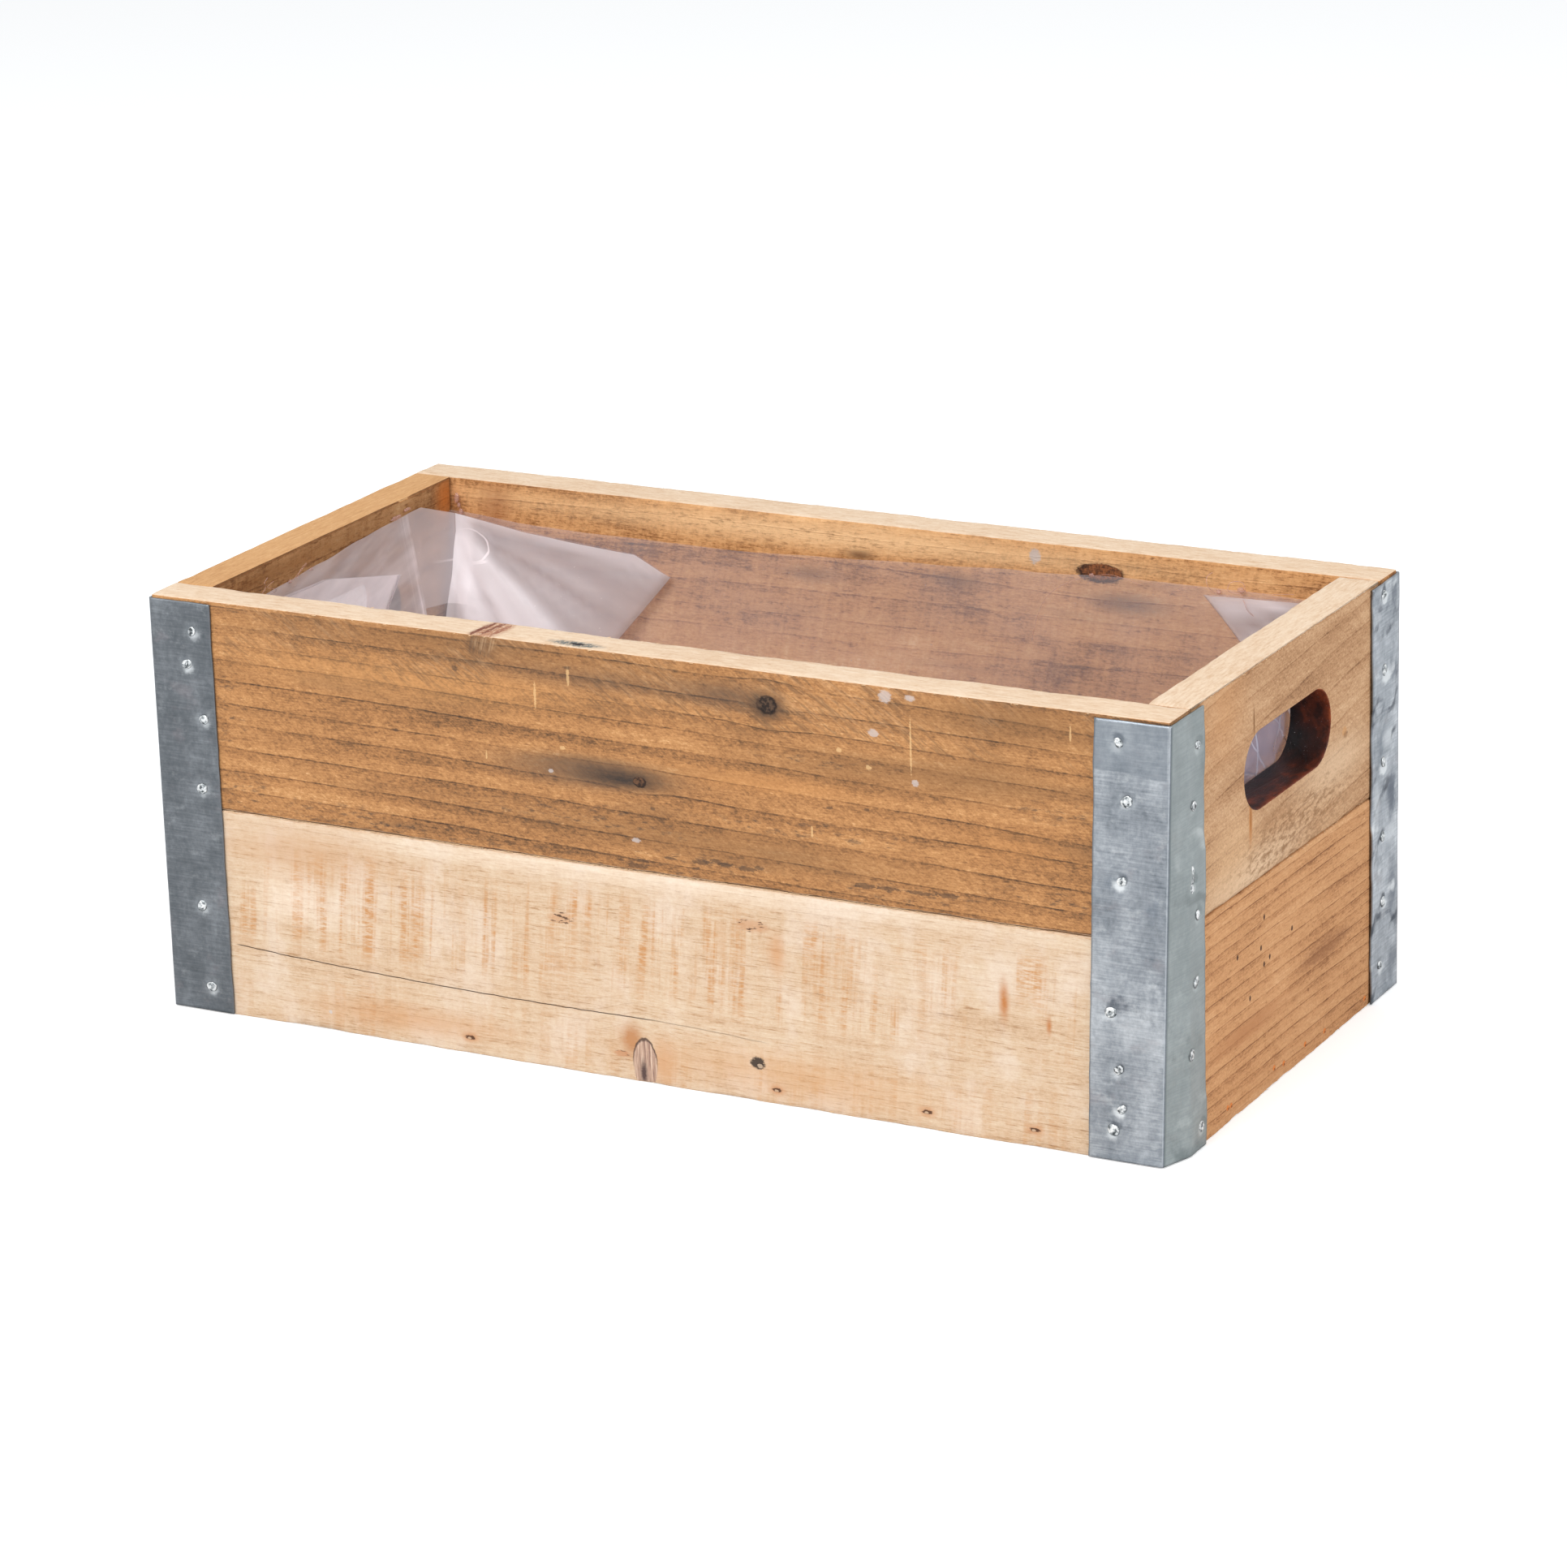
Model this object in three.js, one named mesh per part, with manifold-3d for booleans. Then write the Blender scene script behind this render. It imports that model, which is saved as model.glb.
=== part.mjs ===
// Wooden planter box: rough boards nailed round two base boards, bent zinc straps nailed
// over the corners, and a clear film liner folded into the box like gift wrap.
// Millimetres, +Z up. The origin is the middle of the underside, +X runs along the length
// to the end seen in front, and the front wall faces -Y.

import * as THREE from 'three';
import { mergeVertices } from 'three/addons/utils/BufferGeometryUtils.js';
import Module from 'manifold-3d';

// Boards
const boxLength = 500;
const boxWidth = 248;
const boardWidth = 98.2;
const wallThickness = 20.3;
const endThickness = 19.5;
const boardSeam = 0.5;
const endSeamFrontRise = 2.6;
const endSeamBackDrop = 0.3;
const edgeEasing = 0.9;
const baseThickness = 16;
const drainGap = 10;

// Hand holes, one in the upper board of each end. They were cut by hand, and the one in the
// left end lies nearer to the back wall and a little lower.
const handHoleLength = 95;
const handHoleHeight = 34.8;
const handHoleBelowRim = 47.9;
const leftHandHoleShift = 6;
const leftHandHoleLowering = 2.2;

// Corner straps
const strapFlange = 33;
const frontRightFlange = 35;
const sheetThickness = 0.9;
const bendRadius = 0.6;
const strapTopInset = 1.4;
const strapFootInset = 0.6;

// The front boards are cut short towards the foot at their right end, and the strap there
// leans in with them. The lean is how far in at the foot, and the run how much of the strap's
// other flange lies aslant to take it up.
const frontEndLean = 5;
const frontEndLeanRun = 16;

// Strap nails
const nailHeadRadius = 2;
const nailHeadHeight = 0.7;
const nailShankRadius = 0.8;
const nailLength = 16;
const nailPoint = 3;
const nailSides = 10;

// Film liner. The ears are the corner folds, and each lies on one of the walls.
const filmThickness = 0.5;
const filmStandoff = 0.6;
const foldPitch = 1.5;
const cornerPleat = 3;
const filmRipple = 0.8;
const ripplesAlongWall = 3;
const earLift = 4;
const filmRows = 7;
const longWallSteps = 9;
const shortWallSteps = 6;
const earSteps = 5;

// Clearances
const seatGap = 0.25;
const boreGap = 0.3;

// Sizes that follow from the ones above
const boxHeight = 2 * boardWidth + boardSeam;
const innerLength = boxLength - 2 * endThickness;
const innerWidth = boxWidth - 2 * wallThickness;
const strapHeight = boxHeight - strapTopInset - strapFootInset;
const headSeat = 2 * seatGap + sheetThickness;
const linerFloor = baseThickness + seatGap;

// Each strap joins the right end of one wall, seen from outside, to the left end of the next.
// A nail is written as its share of the usual flange's width from the corner, then its share of
// the strap's height. The nails were driven by hand, so no two flanges are alike. The flange
// seen at the right end of the front wall is a little wider than the others.
const straps = [
  {
    name: 'front_left_strap',
    walls: ['left', 'front'],
    nails: [
      [[0.62, 0.92], [0.55, 0.66], [0.68, 0.37], [0.6, 0.08]],
      [[0.65, 0.93], [0.54, 0.85], [0.76, 0.72], [0.66, 0.55], [0.54, 0.26], [0.61, 0.06]],
    ],
  },
  {
    name: 'front_right_strap',
    walls: ['front', 'right'],
    lean: frontEndLean,
    firstFlange: frontRightFlange,
    nails: [
      [[0.69, 0.95], [0.58, 0.82], [0.66, 0.64], [0.83, 0.34], [0.73, 0.21], [0.69, 0.12], [0.81, 0.07]],
      [[0.77, 0.92], [0.64, 0.79], [0.6, 0.62], [0.74, 0.54], [0.68, 0.39], [0.54, 0.23], [0.81, 0.05]],
    ],
  },
  {
    name: 'back_right_strap',
    walls: ['right', 'back'],
    nails: [
      [[0.57, 0.97], [0.52, 0.79], [0.54, 0.57], [0.55, 0.39], [0.54, 0.23], [0.64, 0.08]],
      [[0.6, 0.94], [0.66, 0.69], [0.57, 0.33], [0.63, 0.07]],
    ],
  },
  {
    name: 'back_left_strap',
    walls: ['back', 'left'],
    nails: [
      [[0.58, 0.95], [0.67, 0.62], [0.56, 0.31], [0.65, 0.09]],
      [[0.64, 0.9], [0.57, 0.64], [0.7, 0.35], [0.59, 0.06]],
    ],
  },
];

// The liner's top edge, as its drop below the rim at even steps along each wall, from the
// wall's left end to its right end as seen from outside the box.
const linerDrops = {
  front: [16, 17, 19, 18, 15, 15],
  right: [15, 13, 15, 13, 14],
  back: [14, 12, 15, 18.5, 20.5, 20, 17],
  left: [17, 10, 11.5, 15, 16],
};

// At each corner the film's spare cloth is folded on to the wall named here. The reach is how
// far the ear's tip lies from the corner, and the drop how far the tip hangs below the root.
const ears = {
  front_right: { wall: 'front', reach: 120, tipDrop: 14 },
  back_right: { wall: 'back', reach: 62, tipDrop: 3 },
  back_left: { wall: 'back', reach: 125, tipDrop: 22 },
  front_left: { wall: 'left', reach: 155, tipDrop: 22 },
};

const finish = {
  agedWood: new THREE.MeshStandardMaterial({ color: 0xa9794a, roughness: 0.85, metalness: 0 }),
  paleWood: new THREE.MeshStandardMaterial({ color: 0xd9b98a, roughness: 0.85, metalness: 0 }),
  zinc: new THREE.MeshStandardMaterial({ color: 0x8d949b, roughness: 0.4, metalness: 1 }),
  brightSteel: new THREE.MeshStandardMaterial({ color: 0xc4c6c8, roughness: 0.3, metalness: 1 }),
  film: new THREE.MeshStandardMaterial({ color: 0xd8d6de, roughness: 0.15, metalness: 0 }),
};

const wasm = await Module();
wasm.setup();

const box = new THREE.Group();

// Solids

function toSolid(geometry) {
  const bare = geometry.clone();
  bare.deleteAttribute('normal');
  bare.deleteAttribute('uv');
  const merged = mergeVertices(bare, 1e-4);
  return new wasm.Manifold(new wasm.Mesh({
    numProp: 3,
    vertProperties: new Float32Array(merged.attributes.position.array),
    triVerts: new Uint32Array(merged.index.array),
  }));
}

function toGeometry(solid) {
  const { vertProperties, triVerts } = solid.getMesh();
  const geometry = new THREE.BufferGeometry();
  geometry.setAttribute('position', new THREE.BufferAttribute(vertProperties, 3));
  geometry.setIndex(new THREE.BufferAttribute(triVerts, 1));
  geometry.computeVertexNormals();
  return geometry;
}

function cutAll(geometry, tools) {
  let solid = toSolid(geometry);
  for (const tool of tools) {
    solid = solid.subtract(toSolid(tool));
  }
  return toGeometry(solid);
}

function addPiece(parent, name, geometry, material) {
  const mesh = new THREE.Mesh(geometry, material.clone());
  mesh.name = name;
  parent.add(mesh);
  return mesh;
}

// Walls. In a wall's own frame X runs to the right seen from outside, Y goes into the box from
// the outer face and Z is up, with the origin at the bottom middle of the outer face.

const walls = {
  front: { turn: 0, length: boxLength, outward: boxWidth / 2 },
  right: { turn: 1, length: boxWidth, outward: boxLength / 2 },
  back: { turn: 2, length: boxLength, outward: boxWidth / 2 },
  left: { turn: 3, length: boxWidth, outward: boxLength / 2 },
};

for (const wall of Object.values(walls)) {
  const angle = wall.turn * Math.PI / 2;
  wall.group = new THREE.Group();
  wall.group.rotation.z = angle;
  wall.group.position.set(Math.sin(angle) * wall.outward, -Math.cos(angle) * wall.outward, 0);
  wall.group.updateMatrix();
  wall.nails = [];
  box.add(wall.group);
}

for (const strap of straps) {
  strap.walls.forEach((wallName, side) => {
    const wall = walls[wallName];
    const end = side === 0 ? 1 : -1;
    strap.nails[side].forEach(([across, up], index) => {
      wall.nails.push({
        name: `${strap.name}_nail_${wallName}_${index + 1}`,
        x: end * (wall.length / 2 - across * strapFlange),
        z: strapFootInset + up * strapHeight,
      });
    });
  });
}

// The holes that all the nails leave, in the frame of one wall. A flange's nails can reach
// the end grain of the wall next door, so no wall is left out.
function boresInFrameOf(ownWall) {
  const radius = nailShankRadius + boreGap;
  const depth = nailLength - headSeat + boreGap;
  const toOwnFrame = ownWall.group.matrix.clone().invert();
  return Object.values(walls).flatMap((wall) => wall.nails.map((nail) => {
    const bore = new THREE.CylinderGeometry(radius, radius, depth + seatGap, nailSides);
    bore.translate(nail.x, (depth - seatGap) / 2, nail.z);
    bore.applyMatrix4(wall.group.matrix);
    bore.applyMatrix4(toOwnFrame);
    return bore;
  }));
}

function stadium(length, height, centreX, centreZ) {
  const path = new THREE.Path();
  const radius = height / 2;
  const straight = (length - height) / 2;
  path.absarc(centreX + straight, centreZ, radius, -Math.PI / 2, Math.PI / 2, false);
  path.absarc(centreX - straight, centreZ, radius, Math.PI / 2, Math.PI * 1.5, false);
  path.closePath();
  return path;
}

// How far in a leaning end lies at some height over the ground, for its lean at the foot.
function leanAt(lean, z) {
  return Math.max(0, lean * (1 - (z - strapFootInset) / strapHeight));
}

// A board stands on edge from z low to z high, given at its left and right ends, with its outer
// face at depth 0. Its edges are eased all round, hole included. Its right end can lean.
function boardGeometry(length, thickness, low, high, { hole = null, lean = 0 } = {}) {
  const half = length / 2 - edgeEasing;
  const outline = new THREE.Shape();
  outline.moveTo(-half, low[0] + edgeEasing);
  outline.lineTo(half - leanAt(lean, low[1]), low[1] + edgeEasing);
  outline.lineTo(half - leanAt(lean, high[1]), high[1] - edgeEasing);
  outline.lineTo(-half, high[0] - edgeEasing);
  outline.closePath();
  if (hole) {
    outline.holes.push(hole);
  }
  const geometry = new THREE.ExtrudeGeometry(outline, {
    depth: thickness - 2 * edgeEasing,
    bevelThickness: edgeEasing,
    bevelSize: edgeEasing,
    bevelSegments: 1,
    curveSegments: 10,
  });
  geometry.rotateX(Math.PI / 2);
  geometry.translate(0, thickness - edgeEasing, 0);
  return geometry;
}

// A hand hole as drawn on a board's face, which the easing of its edge then narrows.
function handHole(shift, lowering) {
  return stadium(
    handHoleLength + 2 * edgeEasing,
    handHoleHeight + 2 * edgeEasing,
    shift,
    boxHeight - handHoleBelowRim - lowering,
  );
}

// The seam between a wall's two boards is given as its height at the wall's left and right ends.
function addWall(name, boardLength, thickness, seam, { hole = null, lean = 0 } = {}) {
  const { group } = walls[name];
  const upperLow = seam.map((z) => z + boardSeam);
  const bores = boresInFrameOf(walls[name]);
  const lower = boardGeometry(boardLength, thickness, [0, 0], seam, { lean });
  const upper = boardGeometry(boardLength, thickness, upperLow, [boxHeight, boxHeight], { hole, lean });
  addPiece(group, `${name}_board_lower`, cutAll(lower, bores), finish.paleWood);
  addPiece(group, `${name}_board_upper`, cutAll(upper, bores), finish.agedWood);
}

const endBoardLength = innerWidth - 2 * seatGap;
const levelSeam = [boardWidth, boardWidth];
const endSeam = [boardWidth + endSeamFrontRise, boardWidth - endSeamBackDrop];
addWall('front', boxLength, wallThickness, levelSeam, { lean: frontEndLean });
addWall('back', boxLength, wallThickness, levelSeam);
addWall('right', endBoardLength, endThickness, endSeam, { hole: handHole(0, 0) });
addWall('left', endBoardLength, endThickness, [...endSeam].reverse(), {
  hole: handHole(-leftHandHoleShift, leftHandHoleLowering),
});

// Base boards, laid lengthwise between the walls and flush with the bottom edge.

function addBaseBoard(name, side) {
  const width = (innerWidth - drainGap) / 2 - seatGap;
  const geometry = boardGeometry(innerLength - 2 * seatGap, baseThickness, [0, 0], [width, width]);
  const board = addPiece(box, name, geometry, finish.paleWood);
  board.rotation.x = Math.PI / 2;
  board.position.y = side === 'front' ? -drainGap / 2 : drainGap / 2 + width;
}

addBaseBoard('base_board_front', 'front');
addBaseBoard('base_board_back', 'back');

// Straps. The section is drawn round the corner edge, in the frame of the strap's first wall.

function strapSection(firstFlange) {
  const inside = seatGap;
  const outside = seatGap + sheetThickness;
  const centre = { x: inside - bendRadius, y: bendRadius - inside };
  const section = new THREE.Shape();
  section.moveTo(-firstFlange, -outside);
  section.lineTo(centre.x, -outside);
  section.absarc(centre.x, centre.y, bendRadius + sheetThickness, -Math.PI / 2, 0, false);
  section.lineTo(outside, frontEndLeanRun);
  section.lineTo(outside, strapFlange);
  section.lineTo(inside, strapFlange);
  section.lineTo(inside, frontEndLeanRun);
  section.lineTo(inside, centre.y);
  section.absarc(centre.x, centre.y, bendRadius, 0, -Math.PI / 2, true);
  section.lineTo(-firstFlange, -inside);
  section.closePath();
  return section;
}

function strapBore(side, [across, up]) {
  const radius = nailShankRadius + boreGap;
  const bore = new THREE.CylinderGeometry(radius, radius, 4 * headSeat, nailSides);
  bore.translate(-across * strapFlange, 0, up * strapHeight);
  if (side === 1) {
    bore.rotateZ(-Math.PI / 2);
  }
  return bore;
}

// Moves the first flange and the bend in along the first wall, more towards the foot, and
// leaves the second flange where it is past the run.
function leanStrap(sheet, lean) {
  const { position } = sheet.attributes;
  for (let index = 0; index < position.count; index += 1) {
    const share = 1 - (position.getY(index) - bendRadius) / (frontEndLeanRun - bendRadius);
    const shift = leanAt(lean, position.getZ(index) + strapFootInset);
    position.setX(index, position.getX(index) - shift * Math.min(1, Math.max(0, share)));
  }
}

function addStrap(strap) {
  const section = strapSection(strap.firstFlange ?? strapFlange);
  const sheet = new THREE.ExtrudeGeometry(section, {
    depth: strapHeight,
    bevelEnabled: false,
    curveSegments: 4,
  });
  if (strap.lean) {
    leanStrap(sheet, strap.lean);
  }
  const bores = strap.nails.flatMap((flange, side) => flange.map((nail) => strapBore(side, nail)));
  const firstWall = walls[strap.walls[0]];
  const mesh = addPiece(firstWall.group, strap.name, cutAll(sheet, bores), finish.zinc);
  mesh.position.set(firstWall.length / 2, 0, strapFootInset);
}

straps.forEach(addStrap);

// Nails: a low domed head on the strap, a round shank and a point.

function nailGeometry() {
  const under = -headSeat;
  const tip = nailLength - headSeat;
  const profile = [
    new THREE.Vector2(0, under - nailHeadHeight),
    new THREE.Vector2(nailHeadRadius * 0.6, under - nailHeadHeight * 0.9),
    new THREE.Vector2(nailHeadRadius, under - nailHeadHeight * 0.4),
    new THREE.Vector2(nailHeadRadius, under),
    new THREE.Vector2(nailShankRadius, under),
    new THREE.Vector2(nailShankRadius, tip - nailPoint),
    new THREE.Vector2(0, tip),
  ];
  return toGeometry(toSolid(new THREE.LatheGeometry(profile, nailSides)));
}

const nailShape = nailGeometry();
for (const wall of Object.values(walls)) {
  for (const nail of wall.nails) {
    const mesh = addPiece(wall.group, nail.name, nailShape, finish.brightSteel);
    mesh.position.set(nail.x, 0, nail.z);
  }
}

// Film liner. At every height the film is one closed loop in plan, run along the walls in
// turn. At each corner it doubles back on itself along one wall and out again, which makes an
// ear of two layers that widens from a pleat at the floor to its full reach at the top edge.

const linerHalf = {
  x: innerLength / 2 - filmStandoff - filmThickness / 2,
  y: innerWidth / 2 - filmStandoff - filmThickness / 2,
};

const linerWalls = [
  { name: 'front', length: 2 * linerHalf.x, steps: longWallSteps, start: [-1, -1], run: [1, 0] },
  { name: 'right', length: 2 * linerHalf.y, steps: shortWallSteps, start: [1, -1], run: [0, 1] },
  { name: 'back', length: 2 * linerHalf.x, steps: longWallSteps, start: [1, 1], run: [-1, 0] },
  { name: 'left', length: 2 * linerHalf.y, steps: shortWallSteps, start: [-1, 1], run: [0, -1] },
];

const cornerAfter = {
  front: 'front_right',
  right: 'back_right',
  back: 'back_left',
  left: 'front_left',
};

function dropAt(wallName, share) {
  const drops = linerDrops[wallName];
  const curve = new THREE.SplineCurve(drops.map((drop, index) => new THREE.Vector2(index, drop)));
  return curve.getPoint(share).y;
}

// A point of the film's middle, at a distance along a wall and a depth off it.
function filmPoint(wall, along, depth, top, level) {
  const [runX, runY] = wall.run;
  const share = along / wall.length;
  const ripple = filmRipple * level * (1 - Math.cos(2 * Math.PI * ripplesAlongWall * share)) / 2;
  const inward = depth + ripple;
  return {
    x: wall.start[0] * linerHalf.x + runX * along - runY * inward,
    y: wall.start[1] * linerHalf.y + runY * along + runX * inward,
    z: linerFloor + (top - linerFloor) * level,
  };
}

// One ear as points, from the layer nearest the wall at the corner, out to the fold and back to
// the corner. The corner is at one end of the wall, and outward runs away from it.
function earPoints(wall, ear, atEnd, level) {
  const reach = cornerPleat + (ear.reach - cornerPleat) * level;
  const rootTop = boxHeight - dropAt(wall.name, atEnd ? 1 : 0);
  const points = [];
  for (const layer of [1, 2]) {
    for (let step = 0; step <= earSteps; step += 1) {
      const share = (layer === 1 ? step : earSteps - step) / earSteps;
      const along = atEnd ? wall.length - share * reach : share * reach;
      const lift = earLift * Math.sin(Math.PI * share) * level;
      const top = rootTop - ear.tipDrop * share;
      points.push(filmPoint(wall, along, layer * foldPitch + lift, top, level));
    }
  }
  return points;
}

function linerLoop(level) {
  const loop = [];
  linerWalls.forEach((wall, index) => {
    const previous = linerWalls[(index + 3) % 4];
    const earBefore = ears[cornerAfter[previous.name]];
    const earAfter = ears[cornerAfter[wall.name]];
    const ownsBefore = earBefore.wall === wall.name;
    const ownsAfter = earAfter.wall === wall.name;
    const first = ownsBefore ? 0 : 2 * foldPitch;
    const last = ownsAfter ? wall.length : wall.length - 2 * foldPitch;
    if (ownsBefore) {
      loop.push(...earPoints(wall, earBefore, false, level).reverse());
    }
    for (let step = ownsBefore ? 0 : 1; step <= wall.steps; step += 1) {
      const along = first + (last - first) * step / wall.steps;
      if (ownsAfter || step < wall.steps) {
        const top = boxHeight - dropAt(wall.name, along / wall.length);
        loop.push(filmPoint(wall, along, 0, top, level));
      }
    }
    if (ownsAfter) {
      loop.push(...earPoints(wall, earAfter, true, level));
    }
  });
  return loop;
}

// The loop moved sideways by a distance, to the outside where it is positive.
function offsetLoop(loop, distance) {
  return loop.map((point, index) => {
    const before = loop[(index + loop.length - 1) % loop.length];
    const after = loop[(index + 1) % loop.length];
    const a = new THREE.Vector2(point.y - before.y, before.x - point.x).normalize();
    const b = new THREE.Vector2(after.y - point.y, point.x - after.x).normalize();
    const scale = distance / (1 + a.dot(b));
    return new THREE.Vector3(point.x + (a.x + b.x) * scale, point.y + (a.y + b.y) * scale, point.z);
  });
}

function linerGeometry() {
  const outer = [];
  const inner = [];
  for (let row = 0; row <= filmRows; row += 1) {
    const loop = linerLoop(row / filmRows);
    outer.push(offsetLoop(loop, filmThickness / 2));
    inner.push(offsetLoop(loop, -filmThickness / 2));
  }
  inner[0].forEach((point) => {
    point.z += filmThickness;
  });
  const columns = outer[0].length;
  const rings = [...outer, ...inner];
  const at = (ring, column) => ring * columns + (column % columns);
  const faces = [];
  const quad = (a, b, c, d) => faces.push(a, b, c, a, c, d);
  const firstInner = filmRows + 1;
  for (let column = 0; column < columns; column += 1) {
    for (let row = 0; row < filmRows; row += 1) {
      quad(at(row, column), at(row, column + 1), at(row + 1, column + 1), at(row + 1, column));
      const ring = firstInner + row;
      quad(at(ring, column + 1), at(ring, column), at(ring + 1, column), at(ring + 1, column + 1));
    }
    const top = firstInner + filmRows;
    quad(at(filmRows, column), at(filmRows, column + 1), at(top, column + 1), at(top, column));
  }
  const floor = (ring) => THREE.ShapeUtils.triangulateShape(
    rings[ring].map((point) => new THREE.Vector2(point.x, point.y)),
    [],
  );
  for (const [a, b, c] of floor(0)) {
    faces.push(at(0, c), at(0, b), at(0, a));
  }
  for (const [a, b, c] of floor(firstInner)) {
    faces.push(at(firstInner, a), at(firstInner, b), at(firstInner, c));
  }
  const geometry = new THREE.BufferGeometry();
  geometry.setFromPoints(rings.flat());
  geometry.setIndex(faces);
  geometry.computeVertexNormals();
  return geometry;
}

addPiece(box, 'film_liner', linerGeometry(), finish.film);

export default box;
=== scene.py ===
import functools
import math
import random

import bpy
import numpy as np
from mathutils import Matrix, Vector, noise


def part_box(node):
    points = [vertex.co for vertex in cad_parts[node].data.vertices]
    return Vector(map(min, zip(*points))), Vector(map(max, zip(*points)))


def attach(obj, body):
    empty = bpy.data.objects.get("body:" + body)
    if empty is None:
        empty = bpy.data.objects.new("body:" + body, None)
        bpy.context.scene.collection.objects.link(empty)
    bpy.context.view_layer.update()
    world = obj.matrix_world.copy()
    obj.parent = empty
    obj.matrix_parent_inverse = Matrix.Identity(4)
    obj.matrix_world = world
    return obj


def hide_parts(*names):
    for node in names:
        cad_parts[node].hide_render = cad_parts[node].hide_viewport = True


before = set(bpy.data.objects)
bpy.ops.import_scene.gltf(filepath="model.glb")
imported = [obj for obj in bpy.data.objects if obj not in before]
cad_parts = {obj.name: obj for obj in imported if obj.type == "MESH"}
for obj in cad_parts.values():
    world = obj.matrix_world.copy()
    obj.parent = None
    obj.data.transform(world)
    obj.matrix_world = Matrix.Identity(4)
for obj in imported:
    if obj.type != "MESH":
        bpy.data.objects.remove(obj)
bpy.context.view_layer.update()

MM = 0.001
SEED = 7


# Shader trees, written as sums

class Field:
    """A socket in a shader tree that can stand in a sum."""

    def __init__(self, shader, socket):
        self.shader = shader
        self.socket = socket

    def __add__(self, other):
        return self.shader.math("ADD", self, other)

    def __sub__(self, other):
        return self.shader.math("SUBTRACT", self, other)

    def __rsub__(self, other):
        return self.shader.math("SUBTRACT", other, self)

    def __mul__(self, other):
        return self.shader.math("MULTIPLY", self, other)

    def __truediv__(self, other):
        return self.shader.math("DIVIDE", self, other)

    def __abs__(self):
        return self.shader.math("ABSOLUTE", self)

    __radd__ = __add__
    __rmul__ = __mul__


class Shader:
    """A material or a world, and the few kinds of node that the looks here are made of."""

    def __init__(self, name, owners="materials"):
        self.owner = getattr(bpy.data, owners).new(name)
        self.owner.use_nodes = True
        self.tree = self.owner.node_tree
        self.tree.nodes.clear()

    def node(self, kind, inputs=(), output=0, **settings):
        """One output of a new node. Its inputs are given in order, or by number or name."""
        node = self.tree.nodes.new("ShaderNode" + kind)
        for key, value in settings.items():
            setattr(node, key, value)
        for name, value in inputs.items() if isinstance(inputs, dict) else enumerate(inputs):
            if isinstance(value, Field):
                self.tree.links.new(value.socket, node.inputs[name])
            else:
                node.inputs[name].default_value = value
        return Field(self, node.outputs[output])

    def math(self, operation, a, b=0.0, clamp=False):
        return self.node("Math", (a, b), operation=operation, use_clamp=clamp)

    def attribute(self, name):
        return self.node("Attribute", output="Vector", attribute_name=name)

    def position(self):
        return self.node("NewGeometry", output="Position")

    def split(self, vector):
        node = self.node("SeparateXYZ", (vector,)).socket.node
        return [Field(self, socket) for socket in node.outputs]

    def join(self, x, y, z=0.0):
        return self.node("CombineXYZ", (x, y, z))

    def vector(self, operation, a, b):
        output = "Value" if operation in ("LENGTH", "DISTANCE") else "Vector"
        return self.node("VectorMath", (a, b), output, operation=operation)

    def noise(self, vector, per_metre, detail=2.0, roughness=0.5):
        """Noise from 0 to 1, with its own number of cells in a metre along each axis."""
        scaled = self.vector("MULTIPLY", vector, per_metre)
        settings = {"Vector": scaled, "Scale": 1.0, "Detail": detail, "Roughness": roughness}
        return self.node("TexNoise", settings)

    def smooth(self, value, low, high):
        """0 up to low and 1 from high on, or the other way round where low is the greater."""
        return self.node("MapRange", {
            "Value": value, "From Min": min(low, high), "From Max": max(low, high),
            "To Min": float(low >= high), "To Max": float(low < high),
        }, interpolation_type="SMOOTHSTEP")

    def spots(self, vector, per_metre, detail, roughness, low, high):
        return self.smooth(self.noise(vector, per_metre, detail, roughness), low, high)

    def ramp(self, value, stops):
        ramp = self.node("ValToRGB", (value,), "Color")
        elements = ramp.socket.node.color_ramp.elements
        while len(elements) < len(stops):
            elements.new(0.5)
        for element, (place, colour) in zip(elements, stops):
            element.position = place
            element.color = srgb(*colour)
        return ramp

    def blend(self, a, b, share):
        a, b = (colour if isinstance(colour, Field) else srgb(*colour) for colour in (a, b))
        return self.node("Mix", {0: share, 6: a, 7: b}, 2, data_type="RGBA")

    def bump(self, height, distance, strength=1.0):
        return self.node("Bump", {"Strength": strength, "Distance": distance, "Height": height})

    def surface(self, **inputs):
        """The Principled surface, with each input named as on the node."""
        return self.node("BsdfPrincipled", {key.replace("_", " "): inputs[key] for key in inputs})

    def finish(self, surface, kind="Material"):
        output = self.tree.nodes.new("ShaderNodeOutput" + kind)
        self.tree.links.new(surface.socket, output.inputs["Surface"])
        return self.owner


def srgb(red, green, blue):
    """A screen colour of 0 to 255 as the linear colour that a node takes."""
    def linear(value):
        value /= 255
        return value / 12.92 if value <= 0.04045 else ((value + 0.055) / 1.055) ** 2.4
    return (linear(red), linear(green), linear(blue), 1.0)


# Meshes

def link(piece):
    bpy.context.scene.collection.objects.link(piece)
    return piece


def add_mesh(name, points, faces, material, slot, **vectors):
    """A piece with smooth faces, and vectors at its points that its look reads. Its slot is not used."""
    mesh = bpy.data.meshes.new(name)
    mesh.from_pydata([tuple(p) for p in points], [], [tuple(f) for f in faces])
    mesh.polygons.foreach_set("use_smooth", [True] * len(mesh.polygons))
    mesh.update()
    mesh.materials.append(material)
    for key, values in vectors.items():
        layer = mesh.attributes.new(key, "FLOAT_VECTOR", "POINT")
        layer.data.foreach_set("vector", np.asarray(values, dtype=np.float32).ravel())
    piece = link(bpy.data.objects.new(name, mesh))
    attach(piece, "root")
    return piece


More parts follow.
